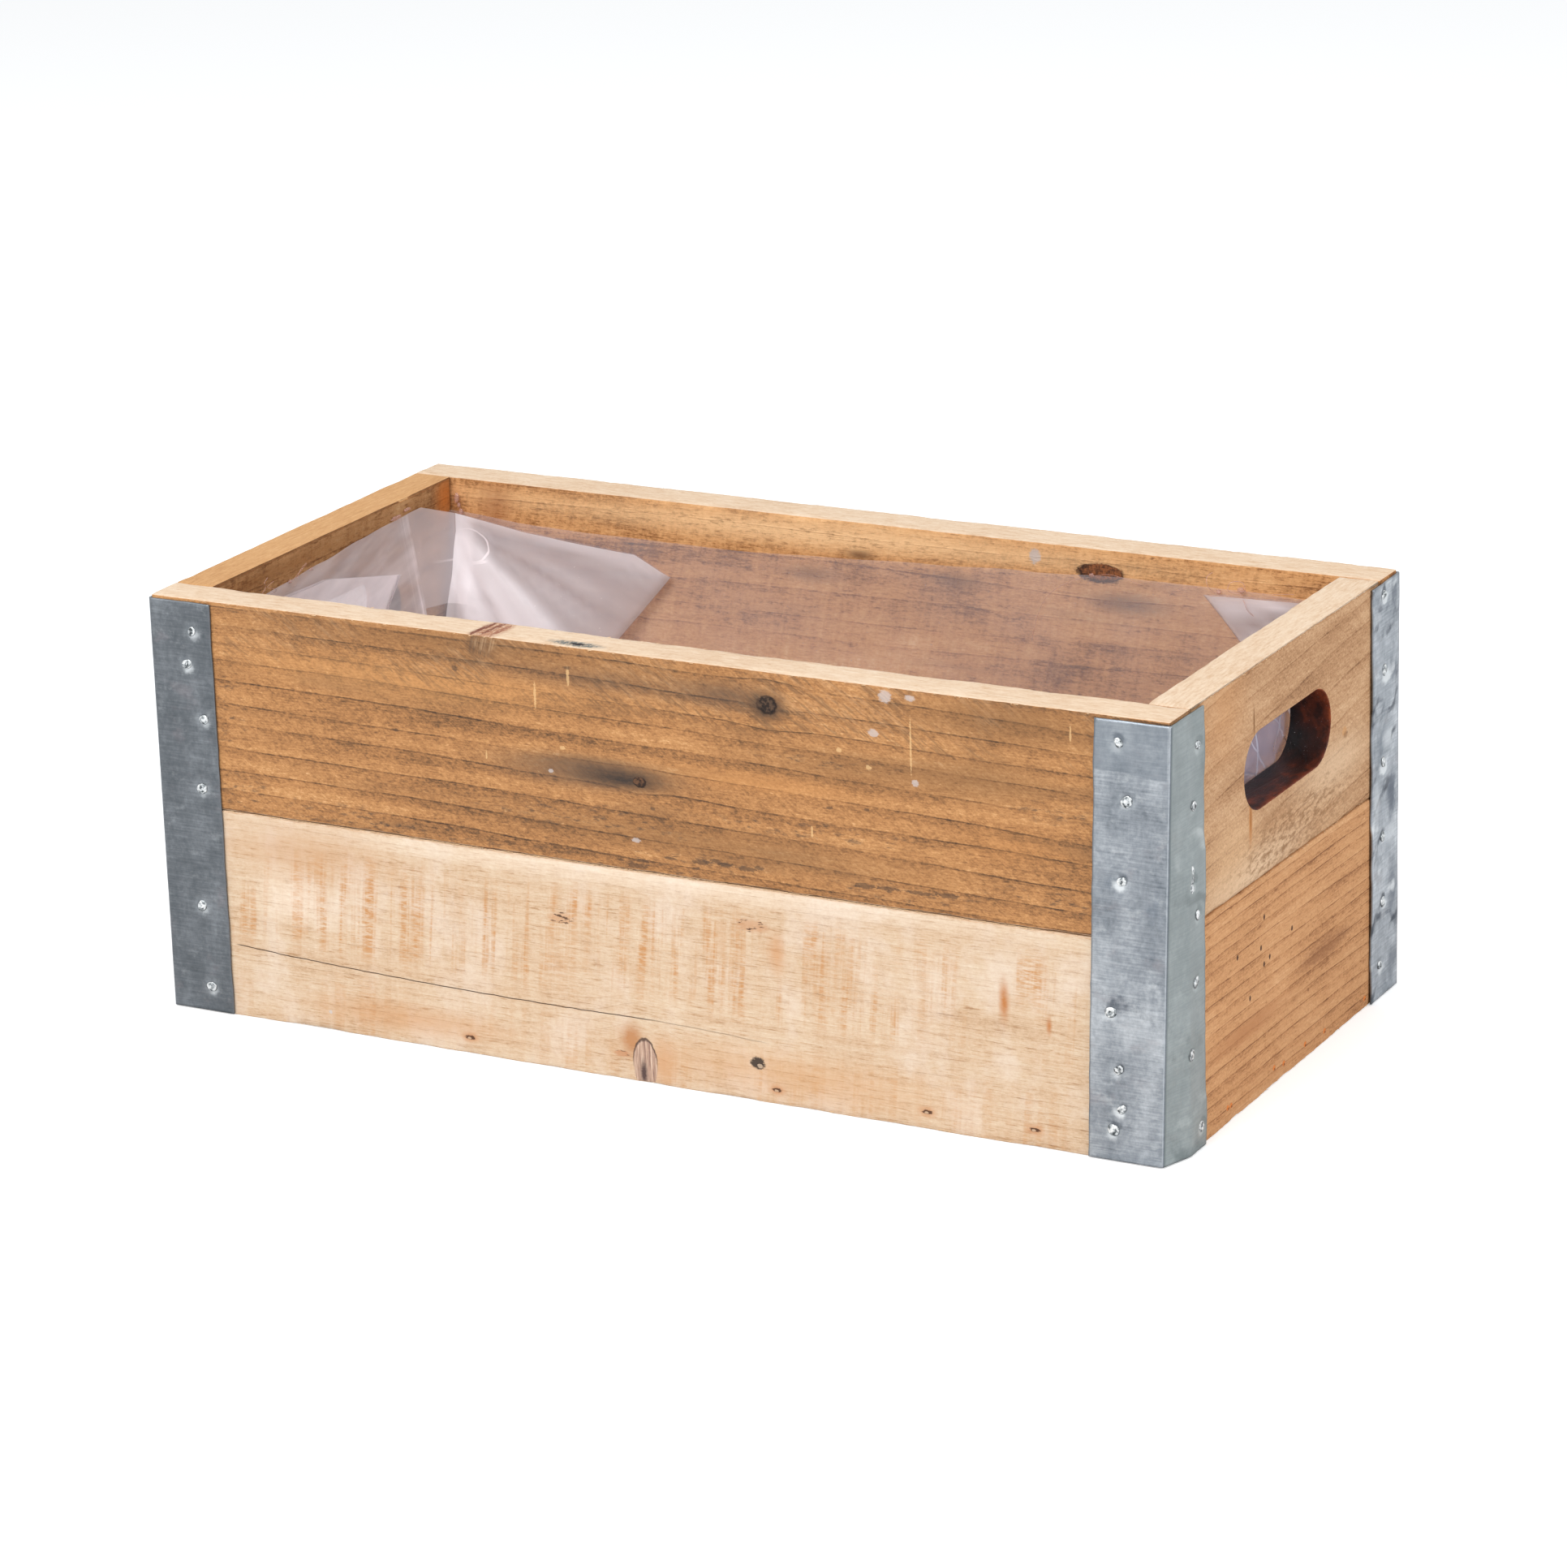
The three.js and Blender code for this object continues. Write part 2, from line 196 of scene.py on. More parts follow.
def rough(point, per_metre, seed=0.0, octaves=3):
    """Smooth random height from about -1 to 1 at a place in metres."""
    shift = Vector((seed, 2 * seed, 3 * seed))
    return noise.fractal(Vector(point) * per_metre + shift, 1.0, 2.0, octaves)


def steps(low, high):
    """Grid places from low to high, close together within the eased stretch at each end."""
    near = EASE * EASE_SHARES
    count = max(2, round((high - low - 2 * EASE) / BOARD_STEP))
    middle = np.linspace(low + EASE, high - EASE, count + 1)[1:-1]
    return np.concatenate([low + near, middle, high - near[::-1]])


def grid_faces(rows, columns, first=0, flip=False, closed=""):
    """The quads of a grid of points, whose last row or column can join the first one."""
    faces = []
    for row in range(rows - (closed != "rows")):
        here, after = first + row * columns, first + (row + 1) % rows * columns
        for column in range(columns - (closed != "columns")):
            beside = (column + 1) % columns
            quad = (here + column, here + beside, after + beside, after + column)
            faces.append(quad[::-1] if flip else quad)
    return faces


# Boards. In a board's own places u runs along the grain, v across it and w goes in from the
# outer face, all in metres. The wood's pattern is drawn in the wall's u and v, so that a knot
# is placed by its distance from the middle of the wall and its height above the floor.

EASE = 0.8 * MM
EASE_SHARES = np.array([0, 0.3, 0.6, 1])
BOARD_STEP = 2.6 * MM
WEAR_DEPTH = 0.55 * MM
SLOT_RINGS = 18
SLANT_RUN = 25 * MM


def slot_middle(u, hole):
    """The nearest point of a slot's middle line, as u and v."""
    nearest = np.clip(u, hole["middle"] - hole["straight"], hole["middle"] + hole["straight"])
    return np.stack([nearest, np.full_like(nearest, hole["height"])], axis=-1)


def slot_outline(place, hole):
    """The point of a slot's edge that faces a place on the board, as u and v."""
    middle = slot_middle(place[0], hole)
    away = np.array(place) - middle
    return middle + away / np.linalg.norm(away) * hole["radius"]


def holed_faces(us, vs, ws, hole, start):
    """Both faces of a board as rings round a slot, and the slot's own wall."""
    points, faces = [], []
    rim = [(u, vs[0]) for u in us[:-1]] + [(us[-1], v) for v in vs[:-1]]
    rim += [(u, vs[-1]) for u in us[:0:-1]] + [(us[0], v) for v in vs[:0:-1]]
    inner = [slot_outline(place, hole) for place in rim]
    shares = np.linspace(0, 1, SLOT_RINGS + 1)[1:]
    rings = len(EASE_SHARES) + len(shares)
    for w, flip in ((ws[0], False), (ws[-1], True)):
        faces += grid_faces(len(rim), rings, start + len(points), flip, "rows")
        for edge, outer in zip(inner, rim):
            ray = np.array(outer) - edge
            length = np.linalg.norm(ray)
            for distance in [*(EASE * EASE_SHARES), *(EASE + (length - EASE) * shares)]:
                points.append([*(edge + ray / length * distance), w])
    faces += grid_faces(len(ws), len(rim), start + len(points), closed="columns")
    points += [[*edge, w] for w in ws for edge in inner]
    return points, faces


def board_shell(us, vs, ws, hole):
    """A box's faces as grids, as points in u, v and w, with the quads that join them."""
    places = (us, vs, ws)
    sides = [(0, 2, 1, 0, True), (0, 2, 1, -1, False), (1, 2, 0, 0, False), (1, 2, 0, -1, True)]
    if not hole:
        sides += [(0, 1, 2, 0, False), (0, 1, 2, -1, True)]
    points, faces = [], []
    for first, second, fixed, end, flip in sides:
        faces += grid_faces(len(places[first]), len(places[second]), len(points), flip)
        for a in places[first]:
            for b in places[second]:
                place = [places[fixed][end]] * 3
                place[first], place[second] = a, b
                points.append(place)
    if hole:
        more_points, more_faces = holed_faces(us, vs, ws, hole, len(points))
        points += more_points
        faces += more_faces
    return np.array(points), faces


def weld(points, faces):
    """Joins points that lie in the same place, and drops quads that this closes up."""
    cells = np.round(np.array(points)[:, :3] / (0.01 * MM))
    _, first, where = np.unique(cells, axis=0, return_index=True, return_inverse=True)
    where = where.ravel()
    joined = [list(dict.fromkeys(where[list(face)].tolist())) for face in faces]
    return np.array(points)[first], [corners for corners in joined if len(corners) > 2]


def ease_edges(points, low, high, hole):
    """Rounds the corners of the shell. Returns the points, their normals and the slot's nearness."""
    inside = np.clip(points, low + EASE, high - EASE)
    away = points - inside
    normals = away / np.linalg.norm(away, axis=1, keepdims=True)
    eased = inside + normals * EASE
    near_slot = np.zeros(len(points))
    if hole:
        middle = slot_middle(points[:, 0], hole)
        ray = points[:, :2] - middle
        reach = np.linalg.norm(ray, axis=1)
        gap = reach - hole["radius"]
        slot = gap < EASE * 0.999
        depth = np.clip(points[:, 2], low[2] + EASE, high[2] - EASE)
        turn = np.stack([gap - EASE, points[:, 2] - depth], axis=1)[slot]
        turn /= np.linalg.norm(turn, axis=1, keepdims=True)
        unit = (ray[slot].T / reach[slot]).T
        far = hole["radius"] + EASE + turn[:, 0] * EASE
        eased[slot, :2] = middle[slot] + (unit.T * far).T
        eased[slot, 2] = depth[slot] + turn[:, 1] * EASE
        normals[slot, :2] = (unit.T * turn[:, 0]).T
        normals[slot, 2] = turn[:, 1]
        near_slot = np.exp(-np.maximum(gap, 0) / (0.9 * MM))
    return eased, normals, near_slot


def wear(points, normals, low, high, seed, depth):
    """Moves points in along the worn edges, and a little all over, as a rough saw leaves wood."""
    gaps = np.minimum(points - low, high - points)
    edge = np.exp(-np.sort(gaps, axis=1)[:, 1] / (1.8 * MM))
    moved = points.copy()
    for index, place in enumerate(points):
        chips = max(0.0, rough(place, 45, seed) + 0.15) + 0.6 * max(0.0, rough(place, 260, seed, 2))
        split = max(0.0, rough(place, 22, seed + 9) - 0.35) * 3
        inward = edge[index] * depth * (chips + split) + 0.1 * MM * rough(place, 30, seed + 5, 2)
        moved[index] -= normals[index] * max(inward, -0.08 * MM)
    return moved


# Each wall's directions along its grain, across it and into the wood
WALLS = {
    "front": [(1, 0, 0), (0, 0, 1), (0, 1, 0)],
    "right": [(0, 1, 0), (0, 0, 1), (-1, 0, 0)],
    "back": [(-1, 0, 0), (0, 0, 1), (0, -1, 0)],
    "left": [(0, -1, 0), (0, 0, 1), (1, 0, 0)],
    "base": [(1, 0, 0), (0, -1, 0), (0, 0, 1)],
}


def lean_at(lean, z):
    """How far in a leaning end lies at height z, for its lean at the foot."""
    return lean * np.maximum(0.0, 1 - (z - 0.6 * MM) / (194.9 * MM))


def make_board(node, material, slot, seed, slant=0.0, hole=None, worn=1.0, lean=0.0):
    """Replaces a board's node by the same board with a finer surface, eased and worn edges."""
    axes = np.array(WALLS[node.split("_")[0]])
    corners = np.array([list(corner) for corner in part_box(node)]) @ axes.T
    low, high = corners.min(axis=0), corners.max(axis=0)
    if lean:
        high[0] = -low[0]
    shell = board_shell(*(steps(low[axis], high[axis]) for axis in range(3)), hole)
    points, faces = weld(*shell)
    points, normals, near_slot = ease_edges(points, low, high, hole)
    edge = np.clip(np.abs(normals[:, 1]) * 1.3 - 0.15, 0, 1)
    if hole:
        edge = edge * (np.abs(points[:, 1] - hole["height"]) > hole["radius"] + 5 * MM)
    edge = edge * (normals[:, 1] * slant <= 0)
    end = np.abs(normals[:, 0]) * (near_slot < 0.5)
    points = wear(points, normals, low, high, seed, WEAR_DEPTH * worn)
    share = (points[:, 0] - low[0]) / (high[0] - low[0])
    if slant > 0:
        points[:, 1] -= slant * share * np.clip(1 - (high[1] - points[:, 1]) / SLANT_RUN, 0, 1)
    elif slant < 0:
        points[:, 1] -= slant * (1 - share) * np.clip(1 - (points[:, 1] - low[1]) / SLANT_RUN, 0, 1)
    if lean:
        points[:, 0] -= lean_at(lean, points[:, 1]) * share
    zone = np.stack([edge, end, near_slot], axis=1)
    piece = add_mesh(node + "_wood", points @ axes, faces, material, slot, grain=points, zone=zone)
    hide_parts(node)


# Wood. A look gives the colours from darkest to lightest, how the growth rings lie, and how
# strong each kind of streak is. Knots, marks and the like are in millimetres on the wall.

BARK = (70, 46, 36)
SOOT = (74, 66, 62)
PUTTY = (204, 194, 190)
STRAW = (238, 196, 140)
EARTH = (118, 86, 58)
BLEACH = (244, 226, 206)
RUST = (190, 124, 72)

CREAM = [
    (0.0, (166, 126, 94)), (0.3, (205, 172, 140)), (0.55, (220, 194, 166)), (1.0, (236, 219, 198)),
]
SAWN_BROWN = [
    (0.0, (150, 106, 66)), (0.4, (194, 146, 98)), (0.7, (208, 162, 113)), (1.0, (224, 188, 146)),
]
# The colours inside the hand holes, and the middle of an end board's thickness as w
BURNT = [(0.3, (20, 13, 12)), (0.55, (58, 28, 20)), (0.73, (122, 54, 28)), (0.88, (188, 97, 44))]
END_MIDDLE = -240 * MM

LOOK_KEYS = (
    "colours", "pith", "drift", "ring", "slope", "waver", "band", "line", "streak", "fibre", "pore",
    "dash", "patch", "grit", "chatter", "chatter_mm", "lean", "mould", "fleck", "hair", "relief",
)
WEATHERED, PALE, TAN, ORANGE, INNER = [dict(zip(LOOK_KEYS, values)) for values in (
    (
        [(64, 50, 42), (120, 86, 58), (170, 120, 76), (198, 145, 94), (226, 178, 128)],
        (-150, -170), 0.10, 9.5, 0.006, 4.0, 0.14, 0.24, 0.26, 0.66, 0.12,
        0.05, 0.56, 0.9, 0.1, 3.0, 0.4, 0.42, 0.5, 0.38, 0.9,
    ),
    (
        [(134, 98, 70), (184, 147, 112), (211, 181, 150), (223, 201, 174), (238, 223, 204)],
        (-90, -60), 0.02, 4.2, 0.004, 2.0, 0.05, 0.1, 0.24, 0.66, 0.1,
        0.2, 0.4, 0.46, 0.10, 5.0, 0.12, 0.0, 0.2, 0.0, 0.5,
    ),
    (
        [(100, 72, 50), (146, 106, 74), (182, 139, 101), (206, 166, 128), (228, 194, 158)],
        (-700, -20), 0.0, 13, -0.09, 3.0, 0.08, 0.17, 0.24, 0.5, 0.12,
        0.06, 0.6, 0.8, 0.1, 3.0, 1.1, 0.1, 0.45, 0.25, 1.0,
    ),
    (
        [(104, 66, 42), (158, 108, 70), (198, 145, 99), (212, 161, 115), (232, 188, 144)],
        (-150, -60), 0.0, 4.6, 0.015, 4.4, 0.14, 0.24, 0.3, 0.7, 0.16,
        0.1, 0.6, 0.7, 0.08, 4.0, 0.6, 0.05, 0.4, 0.15, 1.2,
    ),
    (
        [(104, 68, 44), (160, 108, 64), (214, 157, 103), (234, 180, 124), (248, 206, 156)],
        (-220, -120), 0.04, 13, 0.012, 6.0, 0.1, 0.12, 0.24, 0.5, 0.24,
        0.12, 1.1, 0.7, 0.2, 3.2, 0.2, 0.35, 0.4, 0.1, 1.0,
    ),
)]


def dimmed(look, share):
    return dict(look, colours=[tuple(share * value for value in colour) for colour in look["colours"]])


class Wood:
    """A board's material, built up in layers that all add to a colour and a height."""

    def __init__(self, name, look, seed, knots=()):
        self.sh = sh = Shader(name)
        self.look = look
        self.late_tints = []
        self.place = sh.attribute("grain")
        self.edge, self.end, self.burn = sh.split(sh.attribute("zone"))
        self.u, self.v, self.w = sh.split(self.place)
        self.drawn = sh.vector("ADD", self.place, (seed * 1.7, seed * 0.9, seed * 0.4))
        self.jag = sh.noise(self.place, (330, 460, 100), 2.0, 0.6) - 0.5
        self.shred = sh.noise(self.place, (800, 1300, 400), 3.0, 0.7) - 0.5
        self.knots = knots
        self.grow(knots)

    def grow(self, knots):
        sh, look, drawn = self.sh, self.look, self.drawn
        bent = self.v
        for knot in knots:
            far = self.distance(knot["at"], (knot["half"][0] * 3.0, knot["half"][1] * 2.2))
            push = sh.math("EXPONENT", far * far * -1.0)
            bent = bent - (self.v - knot["at"][1] * MM) * push * 0.7
        waver = sh.noise(drawn, (2.6, 16, 9)) - 0.5
        ripple = sh.noise(drawn, (24, 80, 40)) - 0.5
        bent = bent + waver * look["waver"] * MM * 2 + ripple * 1.2 * MM + self.u * look["slope"]
        side = bent - look["pith"][0] * MM
        deep = self.w - look["pith"][1] * MM + self.u * look["drift"]
        radius = sh.math("SQRT", side * side + deep * deep)
        ring = sh.math("FRACT", radius / (look["ring"] * MM) + sh.noise(drawn, (1.5, 40, 30), 1.0) * 1.2)
        uneven = sh.spots(drawn, (22, 130, 60), 4.0, 0.7, 0.36, 0.62) + 0.12
        band = sh.smooth(ring, 0.3, 0.95) * sh.smooth(ring, 1.0, 0.96)
        line = sh.smooth(ring, 0.9, 0.96) * sh.smooth(ring, 1.0, 0.97) * uneven

        sawn = 1000 / look["chatter_mm"]
        along = sh.join(self.u + self.v * look["lean"], self.v * 0.12, self.w)
        chatter = sh.noise(along, (sawn, sawn, 60), 2.0, 0.6)
        self.fibre = sh.noise(drawn, (110, 1500, 1000), 4.0, 0.68)
        self.streak = sh.noise(drawn, (6, 140, 120), 4.0, 0.6)
        self.patch = sh.noise(drawn, (18, 36, 24), 4.0, 0.62)
        self.grit = sh.noise(drawn, (560, 900, 900), 3.0, 0.7)
        pore = sh.spots(drawn, (170, 520, 500), 4.0, 0.7, 0.5, 0.74)
        dash = sh.spots(drawn, (100, 1100, 700), 2.0, 0.5, 0.58, 0.7)
        fleck = sh.spots(drawn, (260, 620, 700), 2.0, 0.5, 0.68, 0.78)
        slanted = sh.join(self.u + self.v * 1.3, self.v * 0.5, self.w)
        hair = sh.noise(slanted, (820, 420, 300), 3.0, 0.6)

        tone = (self.streak - 0.5) * look["streak"] * 2 + (self.fibre - 0.5) * look["fibre"]
        tone = tone + (self.patch - 0.5) * look["patch"] + (self.grit - 0.5) * look["grit"]
        tone = tone + (chatter - 0.5) * look["chatter"] * 2 + fleck * look["fleck"] * 0.5
        tone = tone + (hair - 0.5) * look["hair"]
        tone = tone - pore * look["pore"] - dash * look["dash"] - line * look["line"]
        tone = tone - band * look["band"] + 0.6 - self.end * 0.2
        self.colour = sh.ramp(tone, list(zip((0.0, 0.25, 0.5, 0.75, 1.0), look["colours"])))
        self.height = self.fibre * 0.5 + self.grit * 0.5 + chatter * look["chatter"] * 3
        self.height = self.height - line * 0.6 - dash * 0.3 - pore * 0.3
        if look["mould"]:
            smear = sh.spots(drawn, (8, 70, 50), 3.0, 0.5, 0.54, 0.78)
            self.tint((104, 82, 62), smear * look["mould"] * (self.fibre + self.grit - 0.25))

    def distance(self, at, half):
        """1 at the outline of an ellipse, and less inside it."""
        offset = self.sh.vector("SUBTRACT", self.sh.join(self.u, self.v), (at[0] * MM, at[1] * MM, 0))
        scaled = self.sh.vector("MULTIPLY", offset, (1 / (half[0] * MM), 1 / (half[1] * MM), 0))
        return self.sh.vector("LENGTH", scaled, (0, 0, 0))

    def tint(self, colour, share, strength=None):
        """Lays a colour over the wood. A share with a strength is held between 0 and 1."""
        if strength is not None:
            share = self.sh.math("MULTIPLY", share, strength, True)
        self.colour = self.sh.blend(self.colour, colour, share)

    def sink(self, depth):
        self.height = self.height - depth

    def draw_knots(self):
        for knot in self.knots:
            self.knot(**knot)

    def knot(self, at, half, light=(112, 72, 48), dark=(52, 38, 31), rim=1.0):
        """A knot with a mottled heart and a dark rim, which is deepest at its lower right."""
        sh = self.sh
        far = self.distance(at, half) + self.jag * 0.5 + self.shred * 0.2
        heart = sh.noise(self.place, (620, 620, 300), 3.0, 0.7)
        body = sh.blend(light, dark, sh.smooth(heart, 0.58, 0.42))
        shifted = (at[0] - 0.3 * half[0], at[1] + 0.35 * half[1])
        crescent = sh.smooth(self.distance(shifted, half) + self.jag * 0.4, 0.75, 1.0)
        body = sh.blend(body, (34, 27, 25), sh.smooth(far, 0.62, 0.9) * crescent * rim)
        body = sh.blend(body, (64, 46, 36), sh.smooth(far, 0.8, 1.0) * 0.7 * rim)
        inside = sh.smooth(far, 1.12, 0.9)
        self.tint(body, inside)
        self.sink(inside * 1.2)
        self.sink(crescent * inside)

    def mark(self, colour, at, half, strength=0.9, depth=0.0, ragged=0.9):
        """A small mark with a torn outline. One with a depth is sunk."""
        far = self.distance(at, half) + self.jag * ragged * 0.5 + self.shred * ragged * 1.4
        inside = self.sh.smooth(far, 1.1, 0.75) * strength
        self.tint(colour, inside)
        if depth:
            self.sink(inside * depth)

    def torn(self, at, half, body):
        """Fibres torn up round a small knot: a few dark cracks on a stained patch."""
        sh = self.sh
        far = self.distance(at, half) + self.jag * 0.8
        self.tint(body, sh.smooth(far, 1.2, 0.5) * (0.3 + self.fibre * 0.7))
        slanted = sh.join(self.u - self.v * 0.6, self.v, self.w)
        near = sh.spots(slanted, (170, 640, 200), 3.0, 0.6, 0.54, 0.59) * sh.smooth(far, 1.0, 0.7)
        self.tint(BARK, near * 0.85)
        self.sink(near * 2)

    def scrape(self, at, half, colour, strength):
        """Upright or slanted hairlines where something scraped the face, wider at the top."""
        sh = self.sh
        hairs = sh.noise(sh.join(self.u - self.v * 0.25, self.v * 0.1, self.w), (1300, 300, 60), 3.0, 0.6)
        slope = (self.v - at[1] * MM) * 0.5
        far = self.distance(at, half) + self.jag * 0.4
        side = sh.smooth(self.u - at[0] * MM - slope, half[0] * 0.7 * MM, half[0] * 0.3 * MM)
        self.tint(colour, sh.smooth(hairs, 0.4, 0.6) * sh.smooth(far, 1.1, 0.6) * side, strength)

    def smudge(self, colour, at, half, strength):
        """A soft stain that thins out from its middle and follows the grain."""
        far = self.distance(at, half) + self.jag * 0.3
        worn = self.streak * 0.5 + self.fibre * 0.6 + self.grit * 0.6 - 0.05
        self.tint(colour, self.sh.smooth(far, 1.25, 0.0) * worn, strength)

    def specks(self, at, half, strength=0.75, colour=(78, 66, 58)):
        """A patch of small dark spots, drawn out along the grain."""
        spots = self.sh.spots(self.drawn, (150, 480, 300), 4.0, 0.72, 0.5, 0.68)
        self.tint(colour, spots * self.sh.smooth(self.distance(at, half) + self.jag, 1.2, 0.3) * strength)

    def crack(self, rise, lean, bow, first, last, half, strength):
        """A fine split along the grain, at a height of rise, with a lean and a bow along u."""
        line = self.v - rise * MM - self.u * lean - self.u * self.u * (bow / MM)
        line = line + (self.sh.noise(self.place, (110, 3, 3)) - 0.5) * 0.9 * MM
        near = self.sh.smooth(abs(line), half * MM, half * 0.45 * MM)
        near = near * self.sh.smooth(self.u, first * MM, (first + 3) * MM)
        near = near * self.sh.smooth(self.u, last * MM, (last - 12) * MM)
        self.tint((60, 42, 33), near * strength)
        self.sink(near * 3)

    def columns(self, low, high, strength):
        """Upright rows of short brown strokes, left by a saw between two heights."""
        sh = self.sh
        column = sh.noise(sh.join(self.u - self.v * 0.08, self.v * 0.2, self.w), (190, 40, 30), 3.0, 0.6)
        region = sh.spots(self.drawn, (22, 16, 10), 2.0, 0.5, 0.3, 0.6)
        band = sh.smooth(self.v, low * MM, (low + 16) * MM)
        band = band * sh.smooth(self.v, high * MM, (high - 16) * MM)
        stroke = sh.spots(self.drawn, (190, 1000, 600), 4.0, 0.66, 0.36, 0.64)
        bloom = sh.smooth(column, 0.44, 0.66) * region * band * (0.12 + stroke)
        self.tint((200, 147, 98), bloom, strength)

    def bleach(self, strength):
        """A pale bloom in soft upright patches."""
        tall = self.sh.join(self.u, self.v * 0.6, self.w)
        pale = self.sh.spots(tall, (34, 40, 30), 4.0, 0.62, 0.46, 0.68)
        self.tint((232, 216, 200), pale * (0.4 + self.grit) * strength)

    def strokes(self, colour, low, high, slope, strength):
        """Fine slanted strokes from a coarse saw, between two heights."""
        sh = self.sh
        stroke = sh.noise(sh.join(self.u + self.v * slope, self.v * 0.6, self.w), (420, 260, 60), 4.0, 0.68)
        region = sh.spots(self.drawn, (20, 30, 10), 2.0, 0.5, 0.36, 0.56)
        band = sh.smooth(self.v, low * MM, (low + 9) * MM) * sh.smooth(self.v, (high + 3) * MM, high * MM)
        self.tint(colour, sh.smooth(stroke, 0.46, 0.62) * region * band * (0.4 + self.grit), strength)

    def on_rim(self, colour, at, half, lean, strength):
        """A stain on the top edge, at u and w, whose middle line leans along w."""
        sh = self.sh
        across = self.w - at[1] * MM
        along = (self.u - at[0] * MM - across * lean) / (half[0] * MM)
        across = across / (half[1] * MM)
        far = sh.math("SQRT", along * along + across * across) + self.jag * 0.4
        inside = sh.smooth(far, 1.2, 0.5) * sh.smooth(self.edge, 0.5, 0.7)
        crumbled = sh.noise(self.place, (700, 260, 420), 3.0, 0.7)
        self.late_tints.append((colour, inside * (sh.smooth(crumbled, 0.3, 0.6) + 0.15) * strength))

    def finish(self, edge_stops=CREAM):
        sh = self.sh
        tone = sh.noise(self.drawn, (110, 700, 700), 4.0, 0.7) * 1.1 + self.grit * 0.5
        tone = tone + (self.patch - 0.5) * 0.4 - 0.26
        ragged = self.edge + (sh.noise(self.place, (260, 500, 500), 3.0) - 0.5) * 0.55
        self.tint((196, 132, 78), sh.smooth(ragged, 0.22, 0.4) * 0.55)
        self.tint(sh.ramp(tone, edge_stops), sh.smooth(ragged, 0.42, 0.58))
        for colour, share in self.late_tints:
            self.tint(colour, share, 1.0)
        char = self.burn + (sh.noise(self.place, (400, 400, 400)) - 0.5) * 0.25
        glow = sh.noise(self.place, (46, 60, 90), 3.0, 0.6) - (self.w - END_MIDDLE) * 22
        dust = sh.spots(self.place, (1500, 1500, 1500), 1.0, 0.5, 0.72, 0.78)
        inside = sh.smooth(char, 0.62, 0.8)
        self.tint(sh.ramp(glow, BURNT), inside)
        self.tint((150, 140, 140), inside * dust * 0.6)
        return sh.finish(sh.surface(
            Base_Color=self.colour, Roughness=0.84 - inside * 0.34, Specular_IOR_Level=0.25,
            Normal=sh.bump(self.height * self.look["relief"], 0.26 * MM, 0.8),
        ))


# Dark spots on the front upper board, most of them in a row just above the seam
SEAM_STAINS = [
    ((-3.8, 100.8), (5.5, 1.2)), ((0.4, 103.6), (3.4, 0.9)), ((13.9, 106.4), (3.2, 0.6)),
    ((28.3, 106.6), (5.0, 1.1)), ((35.5, 108.3), (3.2, 0.8)), ((40.5, 107.1), (3.8, 1.0)),
    ((50.7, 106.6), (5.0, 1.0)), ((56.8, 107.8), (2.4, 0.9)), ((107.8, 106.8), (5.5, 1.2)),
    ((118.7, 107), (6.0, 0.9)), ((134.5, 107.1), (7.0, 0.9)), ((147, 107.7), (6.0, 1.2)),
    ((91.8, 139.6), (1.6, 0.8)), ((109.7, 141), (1.4, 0.7)), ((5.5, 128), (1.6, 0.8)),
    ((-91.9, 180.2), (1.6, 1.4)), ((-123.7, 148), (2.0, 0.6)), ((-34.6, 187), (2.0, 0.7)),
]


